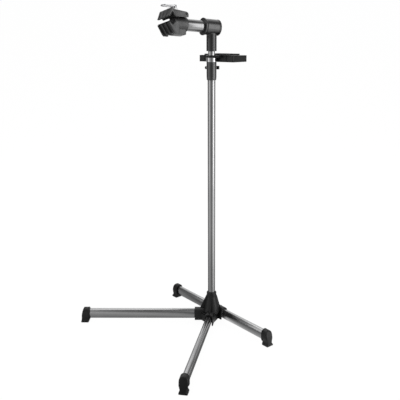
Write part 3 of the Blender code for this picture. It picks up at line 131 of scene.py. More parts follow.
def turned(profile, steps=96, closed=False, span=None):
    """A profile of (radius, height) swept round its axis: (r cos a, r sin a, h).

    A closed profile is a ring. A span in radians leaves the ring open, with its two ends faced.
    """
    profile = np.asarray(profile, float)
    wrap = span is None
    angle = np.arange(steps) * math.tau / steps if wrap else np.linspace(span[0], span[1], steps)
    r, h = profile[None, :, 0], profile[None, :, 1]
    level = np.stack([r * np.cos(angle)[:, None], r * np.sin(angle)[:, None]], -1)
    points, faces = lattice(raised(level, h), wrap, closed)
    if not wrap:
        count = len(profile)
        faces += [tuple(range(count)), tuple(range((steps - 1) * count, steps * count))]
    return points, faces


def plate(outlines, low, high, edge, steps=3, ends=(1, 1)):
    """Outlines carried from low to high, later ones holes, with rims rounded to a quarter circle.

    At an angle a on a rim the outline stands in by edge (1 - sin a) and the height is
    edge (1 - cos a) from the end face. A 0 in ends leaves that rim square, where another plate
    goes on from it.
    """
    angle = np.linspace(0, math.pi / 2, steps + 1)
    inset, rise = edge * (1 - np.sin(angle)), edge * (1 - np.cos(angle))
    rims = []
    for end, sign, base in ((ends[0], 1, low), (ends[1], -1, high)):
        rim = np.stack([inset, base + sign * rise], -1) if end else np.array([[0.0, base]])
        rims.append(rim[::sign])
    section = np.vstack(rims)
    shapes, bottoms, tops = [], [], []
    for k, outline in enumerate(outlines):
        outline = np.asarray(outline, float)
        x, y = outline.T
        area = np.sum(x * np.roll(y, -1) - np.roll(x, -1) * y)
        if (area > 0) != (k == 0):
            outline = outline[::-1]
        side = np.roll(outline, -1, 0) - outline
        side /= np.linalg.norm(side, axis=1)[:, None]
        normal = np.stack([-side[:, 1], side[:, 0]], -1)
        miter = normal + np.roll(normal, 1, 0)
        miter /= np.maximum(0.35, (miter * normal).sum(1))[:, None]
        points = raised(outline[:, None] + miter[:, None] * section[None, :, :1], section[:, 1])
        shapes.append(lattice(points, True))
        bottoms.append(points[:, 0])
        tops.append(points[:, -1])
    points, faces = joined(*shapes)
    rows = len(section)
    for loops, row, order in ((bottoms, 0, -1), (tops, rows - 1, 1)):
        triangles = geometry.tessellate_polygon([[Vector(p) for p in loop] for loop in loops])
        faces += [tuple(i * rows + row for i in corners[::order]) for corners in triangles]
    return points, faces


def piece(name, shape, finish, body, stands_for):
    """A mesh from a shape, welded and facing out, smooth but for edges sharper than 32 degrees."""
    points, faces = shape
    mesh = bpy.data.meshes.new(name)
    mesh.from_pydata(np.asarray(points).tolist(), [], faces)
    work = bmesh.new()
    work.from_mesh(mesh)
    bmesh.ops.remove_doubles(work, verts=work.verts, dist=0.000002)
    bmesh.ops.dissolve_degenerate(work, edges=work.edges, dist=0.000001)
    bmesh.ops.recalc_face_normals(work, faces=work.faces)
    work.to_mesh(mesh)
    work.free()
    mesh.shade_smooth()
    mesh.set_sharp_from_angle(angle=math.radians(32))
    mesh.materials.append(finish)
    made = bpy.data.objects.new(name, mesh)
    bpy.context.scene.collection.objects.link(made)
    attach(made, body)
    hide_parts(stands_for)


class Shade:
    """A shader socket that takes arithmetic: each operator on values adds a Math node."""

    def __init__(self, tree, socket=None):
        self.tree = tree
        self.socket = socket

    def add(self, kind, settings=None, sockets=None, output=0):
        """Any node: its type, its settings, its sockets' values or links, and the output wanted."""
        node = self.tree.nodes.new(kind)
        for key, value in (settings or {}).items():
            if key == "stops":
                ramp = node.color_ramp.elements
                for element, (place, colour) in zip([ramp[0], ramp[1]], value[:2]):
                    element.position, element.color = place, colour
                for place, colour in value[2:]:
                    ramp.new(place).color = colour
            else:
                setattr(node, key, value)
        for key, value in (sockets or {}).items():
            self.link(node.inputs[key], value)
        return Shade(self.tree, node.outputs[output])

    def link(self, socket, value):
        """Puts a link or a plain value into a socket."""
        if isinstance(value, Shade):
            self.tree.links.new(value.socket, socket)
        else:
            socket.default_value = value

    def math(self, operation, first, second):
        """A Math node on two values."""
        return self.add("ShaderNodeMath", {"operation": operation}, {0: first, 1: second})

    def __add__(self, other):
        return self.math("ADD", self, other)

    def __mul__(self, other):
        return self.math("MULTIPLY", self, other)

    __radd__ = __add__
    __rmul__ = __mul__

    def dot(self, direction):
        """This vector's share along a direction."""
        sockets = {0: self, 1: direction}
        return self.add("ShaderNodeVectorMath", {"operation": "DOT_PRODUCT"}, sockets, 1)

    def blend(self, first, second):
        """Colour between two colours by this value."""
        return self.add("ShaderNodeMix", {"data_type": "RGBA"}, {0: self, 6: first, 7: second}, 2)

    def place(self):
        """Object coordinates."""
        return self.add("ShaderNodeTexCoord", output=3)

    def noise(self, vector, scale, detail, roughness):
        """Noise over a vector, by its scale, its octaves of detail and their roughness."""
        sockets = {"Vector": vector, "Scale": scale, "Detail": detail, "Roughness": roughness}
        return self.add("ShaderNodeTexNoise", None, sockets)

    def between(self, low, high, start=0.0, end=1.0):
        """This value's range low to high spread over start to end."""
        limits = {"From Min": low, "From Max": high, "To Min": start, "To Max": end}
        return self.add("ShaderNodeMapRange", None, {"Value": self, **limits})

    def spread(self, start=0.0, end=1.0):
        """A noise's usual range, 0.3 to 0.7, spread over start to end."""
        return self.between(0.3, 0.7, start, end)

    def vary(self, shader, colour, roughness, bump, depth, height):
        """What varies over a surface: colour, roughness and a bump of some strength and depth."""
        sockets = {"Strength": bump, "Distance": depth, "Height": height}
        normal = self.add("ShaderNodeBump", None, sockets)
        for key, value in (("Base Color", colour), ("Roughness", roughness), ("Normal", normal)):
            self.link(shader.inputs[key], value)


def grey(level, blue=None):
    """A grey, with its own level of blue where one is given."""
    return (level, level, level if blue is None else blue, 1.0)


def new_finish(name, **constants):
    """A Principled material, its constant sockets set, and the tree to build its patterns in."""
    made = bpy.data.materials.new(name)
    made.use_nodes = True
    shader = made.node_tree.nodes["Principled BSDF"]
    for key, value in constants.items():
        shader.inputs[key.replace("_", " ")].default_value = value
    return made, shader, Shade(made.node_tree)


def moulded_black(name, tone, roughness, grain, shine=0.5, lacquer=0.0):
    """Black moulding, lacquered or not: spark-etched grain, gloss patches, faint flow marks."""
    constants = {"Specular_IOR_Level": shine, "Coat_Weight": lacquer, "Coat_Roughness": 0.18}
    made, shader, tree = new_finish(name, IOR=1.49, **constants)
    place = tree.place()
    fine = tree.noise(place, 1500.0, 2.0, 0.55)
    broad = tree.noise(place, 22.0, 3.0, 0.6)
    flow = tree.noise(place, 160.0, 4.0, 0.65)
    dark, light = grey(tone * 0.8, tone * 0.82), grey(tone * 1.3, tone * 1.33)
    colour = broad.between(0.35, 0.65).blend(dark, light)
    patches = broad.spread(roughness - 0.05, roughness + 0.06)
    marks = flow.between(0.4, 0.6, -0.02, 0.02)
    tree.vary(shader, colour, patches + marks, grain, 0.0004, fine * 0.8 + flow * 0.2)
    return made


hub_black = moulded_black("hub_black_moulding", 0.010, 0.38, 0.30)
COLLAR_RADIUS, COLLAR_TOP, COLLAR_FOOT = 0.0188, 0.126, 0.108
CONE_RADIUS, CONE_FOOT, DECK_TOP, SKIRT_FOOT = 0.0328, 0.050, 0.046, 0.012
PLUG_RADIUS, PLUG_TOP, PLUG_RIM = 0.0198, 0.044, 0.0008
SOCKET_HALF, SLOT_HALF, SOCKET_TOP, SLOT_SPRING = 0.01635, 0.01235, 0.05935, 0.008
SOCKET_BACK, END_WALL = -0.0225, (-0.0240, -0.0207)
SOCKET_REACH = dict(zip(LEG_NAMES, (0.020, 0.020, 0.0125, 0.0125)))
RIB_END = dict(zip(LEG_NAMES, (-0.001, -0.001, -0.014, -0.014)))
RIB_ROOT, RIB_HALF = 0.0150, 0.003
SKIRT_WALL, PANEL_FOOT, PANEL_LAP = 0.0035, 0.040, 0.0015
REAR_START, REAR_END, REAR_HALF = 0.0195, 0.0515, 0.0016


def arch(half, spring, foot, steps=16):
    """A half circle on its spring line, with straight sides down to the foot."""
    return np.vstack([arc(0.0, spring, half, 0, 180, steps + 1), [[-half, foot]], [[half, foot]]])


def box_line(x_low, x_high, y_low, y_high):
    """Corners of a rectangle, counted round from its low one."""
    return np.array([(x_low, y_low), (x_high, y_low), (x_high, y_high), (x_low, y_high)])


def build_hub():
    """A turned collar, cone and plug, then plates: a socket and a rib to each leg, walls between.

    Each socket is a horseshoe, its arched outside less an arched slot, carried along the leg.
    """
    deck_foot = DECK_TOP - 0.003
    profile = [(MAST_BORE, COLLAR_TOP), (COLLAR_RADIUS, COLLAR_TOP), (COLLAR_RADIUS, COLLAR_FOOT)]
    profile += [(CONE_RADIUS, CONE_FOOT), (CONE_RADIUS, deck_foot), (MAST_BORE, deck_foot)]
    plug = [(0.0, PLUG_TOP), (PLUG_RADIUS, PLUG_TOP), (PLUG_RADIUS, SKIRT_FOOT + PLUG_RIM)]
    plug += [(PLUG_RADIUS - PLUG_RIM, SKIRT_FOOT), (0.0, SKIRT_FOOT)]
    shapes = [turned(eased(profile, 0.0012), closed=True), turned(plug)]
    foot = SKIRT_FOOT - LEG_AXIS
    outer = arch(SOCKET_HALF, SOCKET_TOP - LEG_AXIS - SOCKET_HALF, foot)
    inner = arch(SLOT_HALF, SLOT_SPRING, foot)
    horseshoe = np.vstack([outer[-1:], outer[:-1], inner[-2:-1], inner[:-2][::-1], inner[-1:]])
    for name in LEG_NAMES:
        axes, pin = LEG_AXES[name], LEG_PIN[name] - MAST
        socket = (horseshoe, SOCKET_BACK, SOCKET_REACH[name])
        for outline, low, high in (socket, (outer, *END_WALL)):
            shapes.append(placed(plate([outline], low, high, 0.0010), pin, axes @ ACROSS))
        rib_end = pin + axes @ [RIB_END[name], 0, 0]
        reach = math.hypot(rib_end[0], rib_end[1])
        rib = [(RIB_ROOT, COLLAR_FOOT + 0.004), (COLLAR_RADIUS + 0.0005, COLLAR_FOOT + 0.006)]
        rib += [(COLLAR_RADIUS + 0.005, COLLAR_FOOT - 0.004), (reach, SOCKET_TOP - 0.001)]
        rib += [(reach, deck_foot), (RIB_ROOT, deck_foot)]
        lay = turn_about("Z", math.atan2(rib_end[1], rib_end[0])) @ UPRIGHT
        shapes.append(placed(plate([eased(rib, 0.002)], -RIB_HALF, RIB_HALF, 0.0011), lay=lay))
    around = ("side_right", "front_right", "front_left", "side_left")
    for first, second in zip(around, around[1:]):
        ends = []
        for name, side in ((first, 1), (second, -1)):
            axes, pin = LEG_AXES[name], LEG_PIN[name] - MAST
            offset = side * (SOCKET_HALF - PANEL_LAP)
            ends.append([(pin + axes @ [along, offset, 0])[:2] for along in (-0.004, -0.020)])
        (mouth_a, root_a), (mouth_b, root_b) = ends
        panel = np.array([mouth_a, mouth_b, root_b, root_a])
        shapes.append(plate([panel], PANEL_FOOT, DECK_TOP, 0.0012))
        side = (mouth_b - mouth_a) / np.linalg.norm(mouth_b - mouth_a)
        inward = np.array([-side[1], side[0]]) * SKIRT_WALL
        wall = np.array([mouth_a, mouth_b, mouth_b + inward, mouth_a + inward])
        shapes.append(plate([wall], SKIRT_FOOT, DECK_TOP - 0.0006, 0.0010))
    rear = box_line(REAR_START, REAR_END, -REAR_HALF, REAR_HALF)
    shapes.append(plate([rear], SKIRT_FOOT, SOCKET_TOP - 0.006, 0.0010))
    return placed(joined(*shapes), MAST)


piece("base_hub_moulding", build_hub(), hub_black, "base", "base_hub")


# Fasteners and pins: small turned steel pieces, zinc-plated inside the stand and blackened where
# they show. They keep their exact shapes and get the cloudy look of a thin coat over cut metal.
def coated_steel(name, low, high):
    """A thin coat over turned steel: cloudy patches in tone and gloss, with faint tool marks."""
    made, shader, tree = new_finish(name, Metallic=1.0)
    place = tree.place()
    cloud = tree.noise(place, 260.0, 3.0, 0.6)
    fine = tree.noise(place, 2200.0, 2.0, 0.5)
    colour = cloud.spread().blend(grey(low), grey(high))
    tree.vary(shader, colour, cloud.spread(0.28, 0.44), 0.12, 0.0002, fine)
    return made


def coat(finish, *nodes):
    """Gives its finish to each CAD node that shows as it is."""
    for node in nodes:
        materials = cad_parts[node].data.materials
        materials.clear()
        materials.append(finish)


zinc = coated_steel("zinc_plated_steel", 0.40, 0.56)
blackened = coated_steel("blackened_steel", 0.025, 0.045)
coat(zinc, "arm_plug", "draw_bolt", "barrel_nut", "thrust_barrel")
coat(zinc, *(name + "_leg_pin" for name in LEG_NAMES))
coat(blackened, "jaw_pin", "cam_pin", "clamp_bolt", "clamp_nut")


# Leg tubes: oval steel tube, satin silver, square cut. The knuckle on the hinge pin plugs one end,
# and the other goes into the foot.
TUBE_WIDTH, TUBE_HEIGHT, TUBE_WALL, TUBE_START = 0.024, 0.040, 0.0015, 0.0148
LEG_LENGTH = dict(zip(LEG_NAMES, (0.452, 0.452, 0.2525, 0.2525)))


def drawn_silver(name, along, tone=0.50, roughness=0.20):
    """Satin silver tube: fine lines drawn along it, clouds in the gloss, a few faint rub marks."""
    made, shader, tree = new_finish(name, Metallic=1.0)
    place = tree.place()
    turn = Vector((0, 0, 1)).rotation_difference(Vector(along)).inverted().to_euler()
    drawn = {"Vector": place, "Rotation": tuple(turn), "Scale": (1, 1, 0.012)}
    lined = tree.add("ShaderNodeMapping", None, drawn)
    lines = tree.noise(lined, 1900.0, 3.0, 0.6)
    cloud = tree.noise(place, 14.0, 3.0, 0.55)
    rubs = tree.noise(lined, 240.0, 2.0, 0.4)
    level = lines.spread() * 0.35 + cloud.spread() * 0.65
    colour = level.blend(grey(tone * 0.93, tone * 0.94), grey(tone * 1.07, tone * 1.075))
    gloss = cloud.spread(roughness - 0.04, roughness + 0.05) + rubs.between(0.55, 0.75, 0.0, 0.07)
    tree.vary(shader, colour, gloss + lines.spread(-0.02, 0.02), 0.06, 0.0002, lines)
    return made


def drawn_oval(width, height, power=2.25, steps=96):
    """A drawn tube's outline, its sides faintly round: |2x / width|^p + |2z / height|^p = 1."""
    a = np.arange(steps) * math.tau / steps
    side, rise = np.cos(a), np.sin(a)
    x = width / 2 * np.sign(side) * np.abs(side) ** (2 / power)
    return np.stack([x, height / 2 * np.sign(rise) * np.abs(rise) ** (2 / power)], -1)


tube_lines = [drawn_oval(TUBE_WIDTH - w, TUBE_HEIGHT - w) for w in (0.0, 2 * TUBE_WALL)]
for leg in LEG_NAMES:
    tube = plate(tube_lines, TUBE_START, LEG_LENGTH[leg] + 0.001, 0.0003, 2)
    silver = drawn_silver(leg + "_leg_silver", LEG_AXES[leg][:, 0])
    tube = placed(tube, LEG_PIN[leg], LEG_AXES[leg] @ ACROSS)
    piece(leg + "_oval_tube", tube, silver, leg + "_leg", leg + "_leg_tube")


# Leg knuckles: plain grey mouldings in the inner ends of the legs, turning on the pins under the
# socket roofs. Almost all of each one is hidden. The bush that guides the inner tube is nylon too.
def plain_grey():
    """Unpainted grey nylon: soft mottling and a dull, slightly waxy surface."""
    made, shader, tree = new_finish("grey_nylon", IOR=1.52)
    mottle = tree.noise(tree.place(), 90.0, 4.0, 0.6)
    colour = mottle.spread().blend(grey(0.22, 0.225), grey(0.31, 0.315))
    tree.vary(shader, colour, mottle.spread(0.46, 0.60), 0.10, 0.0003, mottle)
    return made


coat(plain_grey(), *(name + "_knuckle" for name in LEG_NAMES), "slide_bush")


# Feet: black moulded caps pushed over the leg ends. Each has an arched hood, an end that leans out
# towards the floor, a waist and a flared plate to stand on.
foot_black = moulded_black("foot_black_moulding", 0.008, 0.44, 0.34)


def oval(width, height, steps=20):
    """Straight sides and half-round top and bottom, each half circle in the given steps."""
    top = arc(0.0, (height - width) / 2, width / 2, 0, 180, steps + 1)
    return np.vstack([top, -top])


def capped(rings):
    """Rings of points as one closed shape, with the first and the last ring faced."""
    points, faces = lattice(rings, False, True)
    count = rings.shape[1]
    ends = [tuple(range(count))[::-1], tuple(range(len(points) - count, len(points)))]
    return points, faces + ends


def build_foot():
    """Level sections stacked in height: rounded rectangles from x_in to x_out, w to each side.

    Under the hood w is the arch's, half sqrt(1 - s^2), with s the share of its rise.
    """
    half, crown, floor = 0.0153, 0.0253, -LEG_AXIS
    spring = crown - half
    rise = np.sin(np.linspace(0, math.pi / 2, 14))
    plate_rows = [0.0, 0.0005, 0.0012, 0.0036, 0.0045, 0.0055, 0.0070, 0.0090, 0.0115]
    foot_rows = floor + np.array(plate_rows)
    waist_rows = [-0.0195, -0.0160, -0.0120, -0.0060, 0.0, 0.005]
    z = np.concatenate([foot_rows, waist_rows, spring + half * rise])
    widths = [0.0149, 0.0153, 0.0155, 0.0155, 0.0152, 0.0143, 0.0126, 0.0114, 0.0110, 0.0113]
    w = np.interp(z, np.append(foot_rows, [-0.0195, -0.0060, spring]), widths + [half, half])
    hood = z >= spring
    w[hood] = half * np.sqrt(np.maximum(0.0, 1 - ((z[hood] - spring) / half) ** 2))
    hood_rows = [0.0025, crown - 0.006, crown - 0.002, crown]
    fronts = [0.0163, 0.0167, 0.0170, 0.0166, 0.0158, 0.0152, 0.0122, 0.0074, 0.0045, 0.0010]
    x_out = np.interp(z, np.append(foot_rows[[0, 1, 2, 4, 6, 8]], hood_rows), fronts)
    backs = [-0.0124, -0.0128, -0.0130, -0.0134, -0.0148, -0.0155, -0.0155]
    x_in = np.interp(z, np.append(foot_rows[[0, 1, 2, 4, 6, 7]], [crown]), backs)
    corner = np.minimum(0.0035, 0.9 * w)
    a = np.linspace(0, math.tau, 48, endpoint=False)
    cx, cy = np.cos(a), np.sin(a)
    sx, sy = np.sign(np.round(cx, 9)), np.sign(np.round(cy, 9))
    middle, length = (x_out + x_in) / 2, (x_out - x_in) / 2
    x = middle[:, None] + sx * (length - corner)[:, None] + corner[:, None] * cx
    y = sy * (w - corner)[:, None] + corner[:, None] * cy
    lip = plate([oval(0.0314, 0.0512), oval(0.0246, 0.0406)], -0.0172, -0.0140, 0.0010)
    return joined(capped(raised(np.stack([x, y], -1), z[:, None])), placed(lip, lay=ACROSS))


for leg in LEG_NAMES:
    middle = LEG_PIN[leg] + LEG_AXES[leg] @ [LEG_LENGTH[leg], 0, 0]
    cap = placed(build_foot(), middle, LEG_AXES[leg])
    piece(leg + "_foot_cap", cap, foot_black, leg + "_leg", leg + "_foot")


# Mast: a round steel tube, drawn and satin silver. It stands in the hub's collar, held by a screw,
# and the inner tube slides in it.
mast_silver = drawn_silver("mast_silver", (0, 0, 1))
MAST_RADIUS, MAST_INSIDE, MAST_FOOT, MAST_TOP = 0.014, 0.0125, 0.0403, 0.9897


def round_tube(outer, inner, low, high, rim=0.0004, steps=2):
    """A tube turned about its axis, with its cut ends slightly broken."""
    profile = [(outer, high), (outer, low), (inner, low), (inner, high)]
    return turned(eased(profile, rim, steps), 128, True)


mast = placed(round_tube(MAST_RADIUS, MAST_INSIDE, MAST_FOOT, MAST_TOP), MAST)
piece("mast_round_tube", mast, mast_silver, "base", "mast_tube")


# Socket screws: one button-headed screw fixes the mast in the hub, and smaller ones close the
# tray's ring and hold the arm and the stop collar. Each head has a six-sided key socket.
ALONG = np.array([[0.0, 0.0, 1.0], [0.0, 1.0, 0.0], [-1.0, 0.0, 0.0]])


def rings(rows, steps):
    """Rings about Z, a row of radius and height each: (r cos a, r sin a, h). r may vary with a."""
    a = np.arange(steps) * math.tau / steps
    level = [np.stack([r * np.cos(a), r * np.sin(a)], -1) for r, h in rows]
    return raised(np.array(level), np.array([h for r, h in rows])[:, None])


def socket_screw(rows, across, depth, steps=48):
    """Rings of (radius, height) from the tip up to the flat of the head, then a six-sided hole.

    The hole's radius at angle a is half the width across flats over cos((a mod 60) - 30 degrees).
    """
    a = np.arange(steps) * math.tau / steps
    hexagon = across / 2 / np.cos(np.mod(a, math.pi / 3) - math.pi / 6)
    top = rows[-1][1]
    hole = [(hexagon, top), (hexagon, top - depth), (0.00002, top - depth)]
    return capped(rings(rows + hole, steps))


def button_screw(shank, tip, seat, head, height, across):
    """A button head on a plain shank: rim, domed shoulder and flat, as radius and height."""
    rows = [(shank * 0.6, tip), (shank, tip + 0.001), (shank, seat), (head * 0.97, seat)]
    dome = ((1.0, 0.35), (0.93, 0.65), (0.82, 0.9), (0.72, 1.0))
    rows += [(head * share, seat + rise * height) for share, rise in dome]
    return socket_screw(rows, across, 0.6 * height)


mast_fixing = button_screw(0.0025, 0.0085, 0.0191, 0.00475, 0.0028, 0.003)
mast_fixing = placed(mast_fixing, MAST + [0, 0, (COLLAR_TOP + COLLAR_FOOT) / 2], ALONG)
piece("mast_socket_screw", mast_fixing, zinc, "base", "mast_screw")


# Height clamp: a black sleeve over the top of the mast, split at the back, where a bolt through its
# two cheeks pulls it tight round the inner tube. The nut is on one side, the cam lever opposite.
clamp_black = moulded_black("height_clamp_black_moulding", 0.010, 0.30, 0.16, 1.0, 1.0)
CLAMP_AXES = turn_about("Z", math.radians(50.0))
POST_BORE = 0.0123
SLEEVE_RADIUS, SLEEVE_LOW, SLEEVE_STEP, SLEEVE_HIGH = 0.01775, 0.939, 0.990, 1.0015
CHEEK_LOW, CHEEK_HIGH, SPLIT = 0.971, 0.991, 0.094
sleeve = [(SLEEVE_RADIUS, SLEEVE_HIGH), (SLEEVE_RADIUS, SLEEVE_LOW + 0.011)]
sleeve += [(SLEEVE_RADIUS - 0.0012, SLEEVE_LOW), (MAST_BORE, SLEEVE_LOW), (MAST_BORE, SLEEVE_STEP)]
sleeve += [(POST_BORE, SLEEVE_STEP), (POST_BORE, SLEEVE_HIGH)]
cheek = box_line(0.0152, 0.03125, 0.0015, 0.0170)
sleeve_shapes = [turned(eased(sleeve, 0.0009), 120, True, (SPLIT, math.tau - SPLIT))]
for side in (1, -1):
    outline = eased(cheek * [1, side], 0.0028)
    sleeve_shapes.append(plate([outline], CHEEK_LOW, CHEEK_HIGH, 0.0012))
sleeve = placed(joined(*sleeve_shapes), MAST, CLAMP_AXES)
piece("height_clamp_sleeve", sleeve, clamp_black, "base", "height_clamp")


# Cam lever: a forked black handle on the end of the clamp's bolt. Its round nose presses the cheek,
# and its arm lies across the back of the clamp.
CAM_PLACE = np.array([0.0260, -0.0228, 0.981])


def build_cam_lever():
    """Plates along the pin: two cheeks with an arc for a nose, and a back that joins them."""
    nose = arc(0.0, 0.0, 0.0055, 100, 300, 25)
    arm = [(0.00845, -0.0055), (0.01145, -0.0015), (0.01245, 0.0405)]
    arm += [(0.00795, 0.0405), (0.00645, 0.00495)]
    cheeks = np.vstack([nose, eased(arm + [(0.00445, 0.0044)], 0.0018, 4)])
    back = eased([(0.0052, -0.0052)] + arm + [(0.0052, 0.0046)], 0.0018, 4)
    layers = ((cheeks, 0.0036, 0.0060), (cheeks, -0.0060, -0.0036), (back, -0.0059, 0.0059))
    return joined(*(plate([outline], low, high, 0.0007) for outline, low, high in layers))


cam = placed(placed(build_cam_lever(), CAM_PLACE), MAST, CLAMP_AXES)
piece("cam_lever_handle", cam, clamp_black, "height_lever", "cam_lever")


# Inner tube and stop collar: a thinner silver tube that slides and turns in the mast. A chrome
# collar on it, held by a set screw, rests on the sleeve.
post_silver = drawn_silver("inner_tube_silver", (0, 0, 1), 0.50, 0.17)
POST_RADIUS, POST_INSIDE, POST_FOOT, POST_TOP = 0.012, 0.0105, 0.369, 1.0857
RING_RADIUS, RING_FOOT, RING_TOP = 0.01875, 1.0018, 1.0165
post = placed(round_tube(POST_RADIUS, POST_INSIDE, POST_FOOT, POST_TOP), MAST)
piece("inner_round_tube", post, post_silver, "head", "inner_tube")


def polished_chrome():
    """Bright chrome: faint wiping haze in the gloss and fine lines turned round the ring."""
    made, shader, tree = new_finish("polished_chrome", Metallic=1.0)
    place = tree.place()
    flat = tree.add("ShaderNodeMapping", None, {"Vector": place, "Scale": (0.05, 0.05, 1.0)})
    haze = tree.noise(place, 130.0, 3.0, 0.6)
    lines = tree.noise(flat, 2600.0, 2.0, 0.5)
    colour = haze.spread().blend(grey(0.62, 0.63), grey(0.74, 0.75))
    tree.vary(shader, colour, haze.spread(0.07, 0.16), 0.04, 0.0002, lines)
    return made


chrome = polished_chrome()
collar = placed(round_tube(RING_RADIUS, POST_BORE, RING_FOOT, RING_TOP, 0.0012, 5), MAST)
piece("chrome_stop_collar", collar, chrome, "head", "stop_collar")
set_rows = [(0.0018, 0.0123), (0.0025, 0.0131), (0.0025, 0.0187), (0.0022, 0.0190)]
back_of_head = turn_about("Z", math.radians(350.0)) @ ALONG
ring_middle = MAST + [0, 0, (RING_FOOT + RING_TOP) / 2]
set_screw = placed(socket_screw(set_rows, 0.0025, 0.0022), ring_middle, back_of_head)
piece("collar_set_screw", set_screw, zinc, "head", "collar_screw")


# Tool tray: one black moulding with a large bin in front, three small bins behind, an end with
# slots and an end with key-hole sockets. Its bracket holds half of the ring round the pole.
tray_black = moulded_black("tray_black_moulding", 0.010, 0.36, 0.26)
TRAY_AXES = turn_about("Z", math.radians(10.0))
TRAY_BACK, TRAY_FRONT, TRAY_DEPTH, TRAY_HALF = 0.0235, 0.1035, 0.080, 0.078
TRAY_LOW, TRAY_TOP, TRAY_RIM, TRAY_WALL = 1.0013, 1.0238, 1.0288, 0.0025
CENTRE_LOW, CENTRE_HIGH = -TRAY_HALF + 0.032, TRAY_HALF - 0.024
SMALL_BIN = 0.026
BAND_LOW, BAND_HIGH, BAND_RADIUS, BAND_THICK = 1.0168, 1.0248, 0.0178, 0.006
BAND_EAR, BAND_GAP, EAR_SCREW = 0.0268, 0.00015, 0.0223


def round_line(x, y, radius, steps=32):
    """Points round a whole circle."""
    return arc(x, y, radius, 0, 360, steps + 1)[:-1]


def key_hole(x, y, radius):
    """A round hole and a smaller lobe on its inner side: at each angle the farther edge of the two."""
    lobe, centre = radius * 0.6, np.array([x - radius, y + 0.0015])
    a = np.linspace(-math.pi, math.pi, 97)[:-1]
    rays = np.stack([np.cos(a), np.sin(a)], -1)
    away = centre - [x, y]
    along = rays @ away
    inside = lobe**2 - (away @ away - along**2)
    reach = np.where(inside > 0, along + np.sqrt(np.maximum(inside, 0)), 0)
    return np.array([x, y]) + rays * np.maximum(radius, reach)[:, None]


def build_tray():
    """Plates in height: walls round the bins, a floor, a deck with holes on each end, a bracket."""
    inside_back, inside_front = TRAY_BACK + TRAY_WALL, TRAY_FRONT - TRAY_WALL
    split = inside_back + SMALL_BIN
    inner_low, inner_high = CENTRE_LOW + TRAY_WALL, CENTRE_HIGH - TRAY_WALL
    bins = [box_line(split + TRAY_WALL, inside_front, inner_low, inner_high)]
    small = (inner_high - inner_low - 2 * TRAY_WALL) / 3
    for i in range(3):
        start = inner_low + i * (small + TRAY_WALL)
        bins.append(box_line(inside_back, split, start, start + small))
    outer = eased(box_line(TRAY_BACK, TRAY_FRONT, CENTRE_LOW, CENTRE_HIGH), 0.0025)
    bins = [eased(outline, 0.0032, 5) for outline in bins]
    shapes = [plate([outer] + bins, TRAY_LOW, TRAY_RIM, 0.0009, 4)]
    lap_low, lap_high = CENTRE_LOW + 0.001, CENTRE_HIGH - 0.001
    floor = box_line(TRAY_BACK + 0.001, TRAY_FRONT - 0.001, lap_low, lap_high)
    shapes.append(plate([floor], TRAY_LOW + 0.0003, TRAY_LOW + TRAY_WALL, 0.0003))
    row = CENTRE_LOW - TRAY_WALL - 0.0045
    slots = [
        round_line(TRAY_BACK + TRAY_DEPTH * (0.32 + 0.14 * i), row, 0.0040 - 0.0005 * i)
        for i in range(5)
    ]
    outer_row = -TRAY_HALF + TRAY_WALL + 0.009
    for share, length, width in ((0.42, 0.024, 0.007), (0.78, 0.020, 0.008)):
        slots.append(oval(width, length)[:, ::-1] + [TRAY_BACK + TRAY_DEPTH * share, outer_row])
    corner = TRAY_BACK + 0.012
    corner = box_line(corner - 0.006, corner + 0.006, outer_row - 0.003, outer_row + 0.011)
    slots.append(eased(corner, 0.002))
    key_row = (CENTRE_HIGH + TRAY_HALF) / 2
    keys = [
        key_hole(TRAY_BACK + TRAY_DEPTH * share, key_row, radius)
        for share, radius in ((0.17, 0.0070), (0.42, 0.0065), (0.65, 0.0060))
    ]
    for share, shift in ((0.82, 0.004), (0.92, -0.004)):
        keys.append(round_line(TRAY_BACK + TRAY_DEPTH * share, key_row + shift, 0.003))
    for end, inside, holes in ((-TRAY_HALF, lap_low, slots), (TRAY_HALF, lap_high, keys)):
        deck = eased(box_line(TRAY_BACK, TRAY_FRONT, *sorted((end, inside))), 0.0045, 6)
        shapes.append(plate([deck] + holes, TRAY_TOP - 0.004, TRAY_TOP, 0.0008, 4))
        turn_in = math.copysign(TRAY_WALL, inside - end)
        hollow = box_line(inside_back, inside_front, *sorted((end + turn_in, inside - turn_in)))
        shapes.append(plate([deck, eased(hollow, 0.004)], TRAY_LOW, TRAY_TOP - 0.0009, 0.0006))
    bridge = eased(box_line(BAND_GAP, TRAY_BACK + 0.001, -BAND_EAR, BAND_EAR), 0.0018)
    bracket = np.vstack([bridge, arc(0.0, 0.0, POST_BORE, 89, -89, 40)])
    return joined(*shapes, plate([bracket], BAND_LOW, BAND_HIGH, 0.0007))


tray = placed(build_tray(), MAST, TRAY_AXES)
piece("moulded_tool_tray", tray, tray_black, "tray", "tool_tray")
shoulder = math.sqrt(BAND_RADIUS**2 - BAND_THICK**2)
ear = [(-BAND_GAP, BAND_EAR), (-BAND_THICK, BAND_EAR), (-BAND_THICK, shoulder)]
far_ear = [(x, -y) for x, y in ear[::-1]]
bow, bore = arc(0.0, 0.0, BAND_RADIUS, 112, 248, 50), arc(0.0, 0.0, POST_BORE, 269, 91, 50)
band = plate([np.vstack([ear, bow, far_ear, bore])], BAND_LOW, BAND_HIGH, 0.0007)
piece("tray_ring_band", placed(band, MAST, TRAY_AXES), tray_black, "tray", "tray_band")
tray_fixing = button_screw(0.0015, -0.0185, 0.0063, 0.0027, 0.0020, 0.0018)
turn_back = TRAY_AXES @ turn_about("Z", math.pi) @ ALONG
for side, y in (("left", -EAR_SCREW), ("right", EAR_SCREW)):
    at = MAST + TRAY_AXES @ [0.0, y, (BAND_LOW + BAND_HIGH) / 2]
    screw = placed(tray_fixing, at, turn_back)
    piece("tray_socket_screw_" + side, screw, blackened, "tray", "tray_screw_" + side)


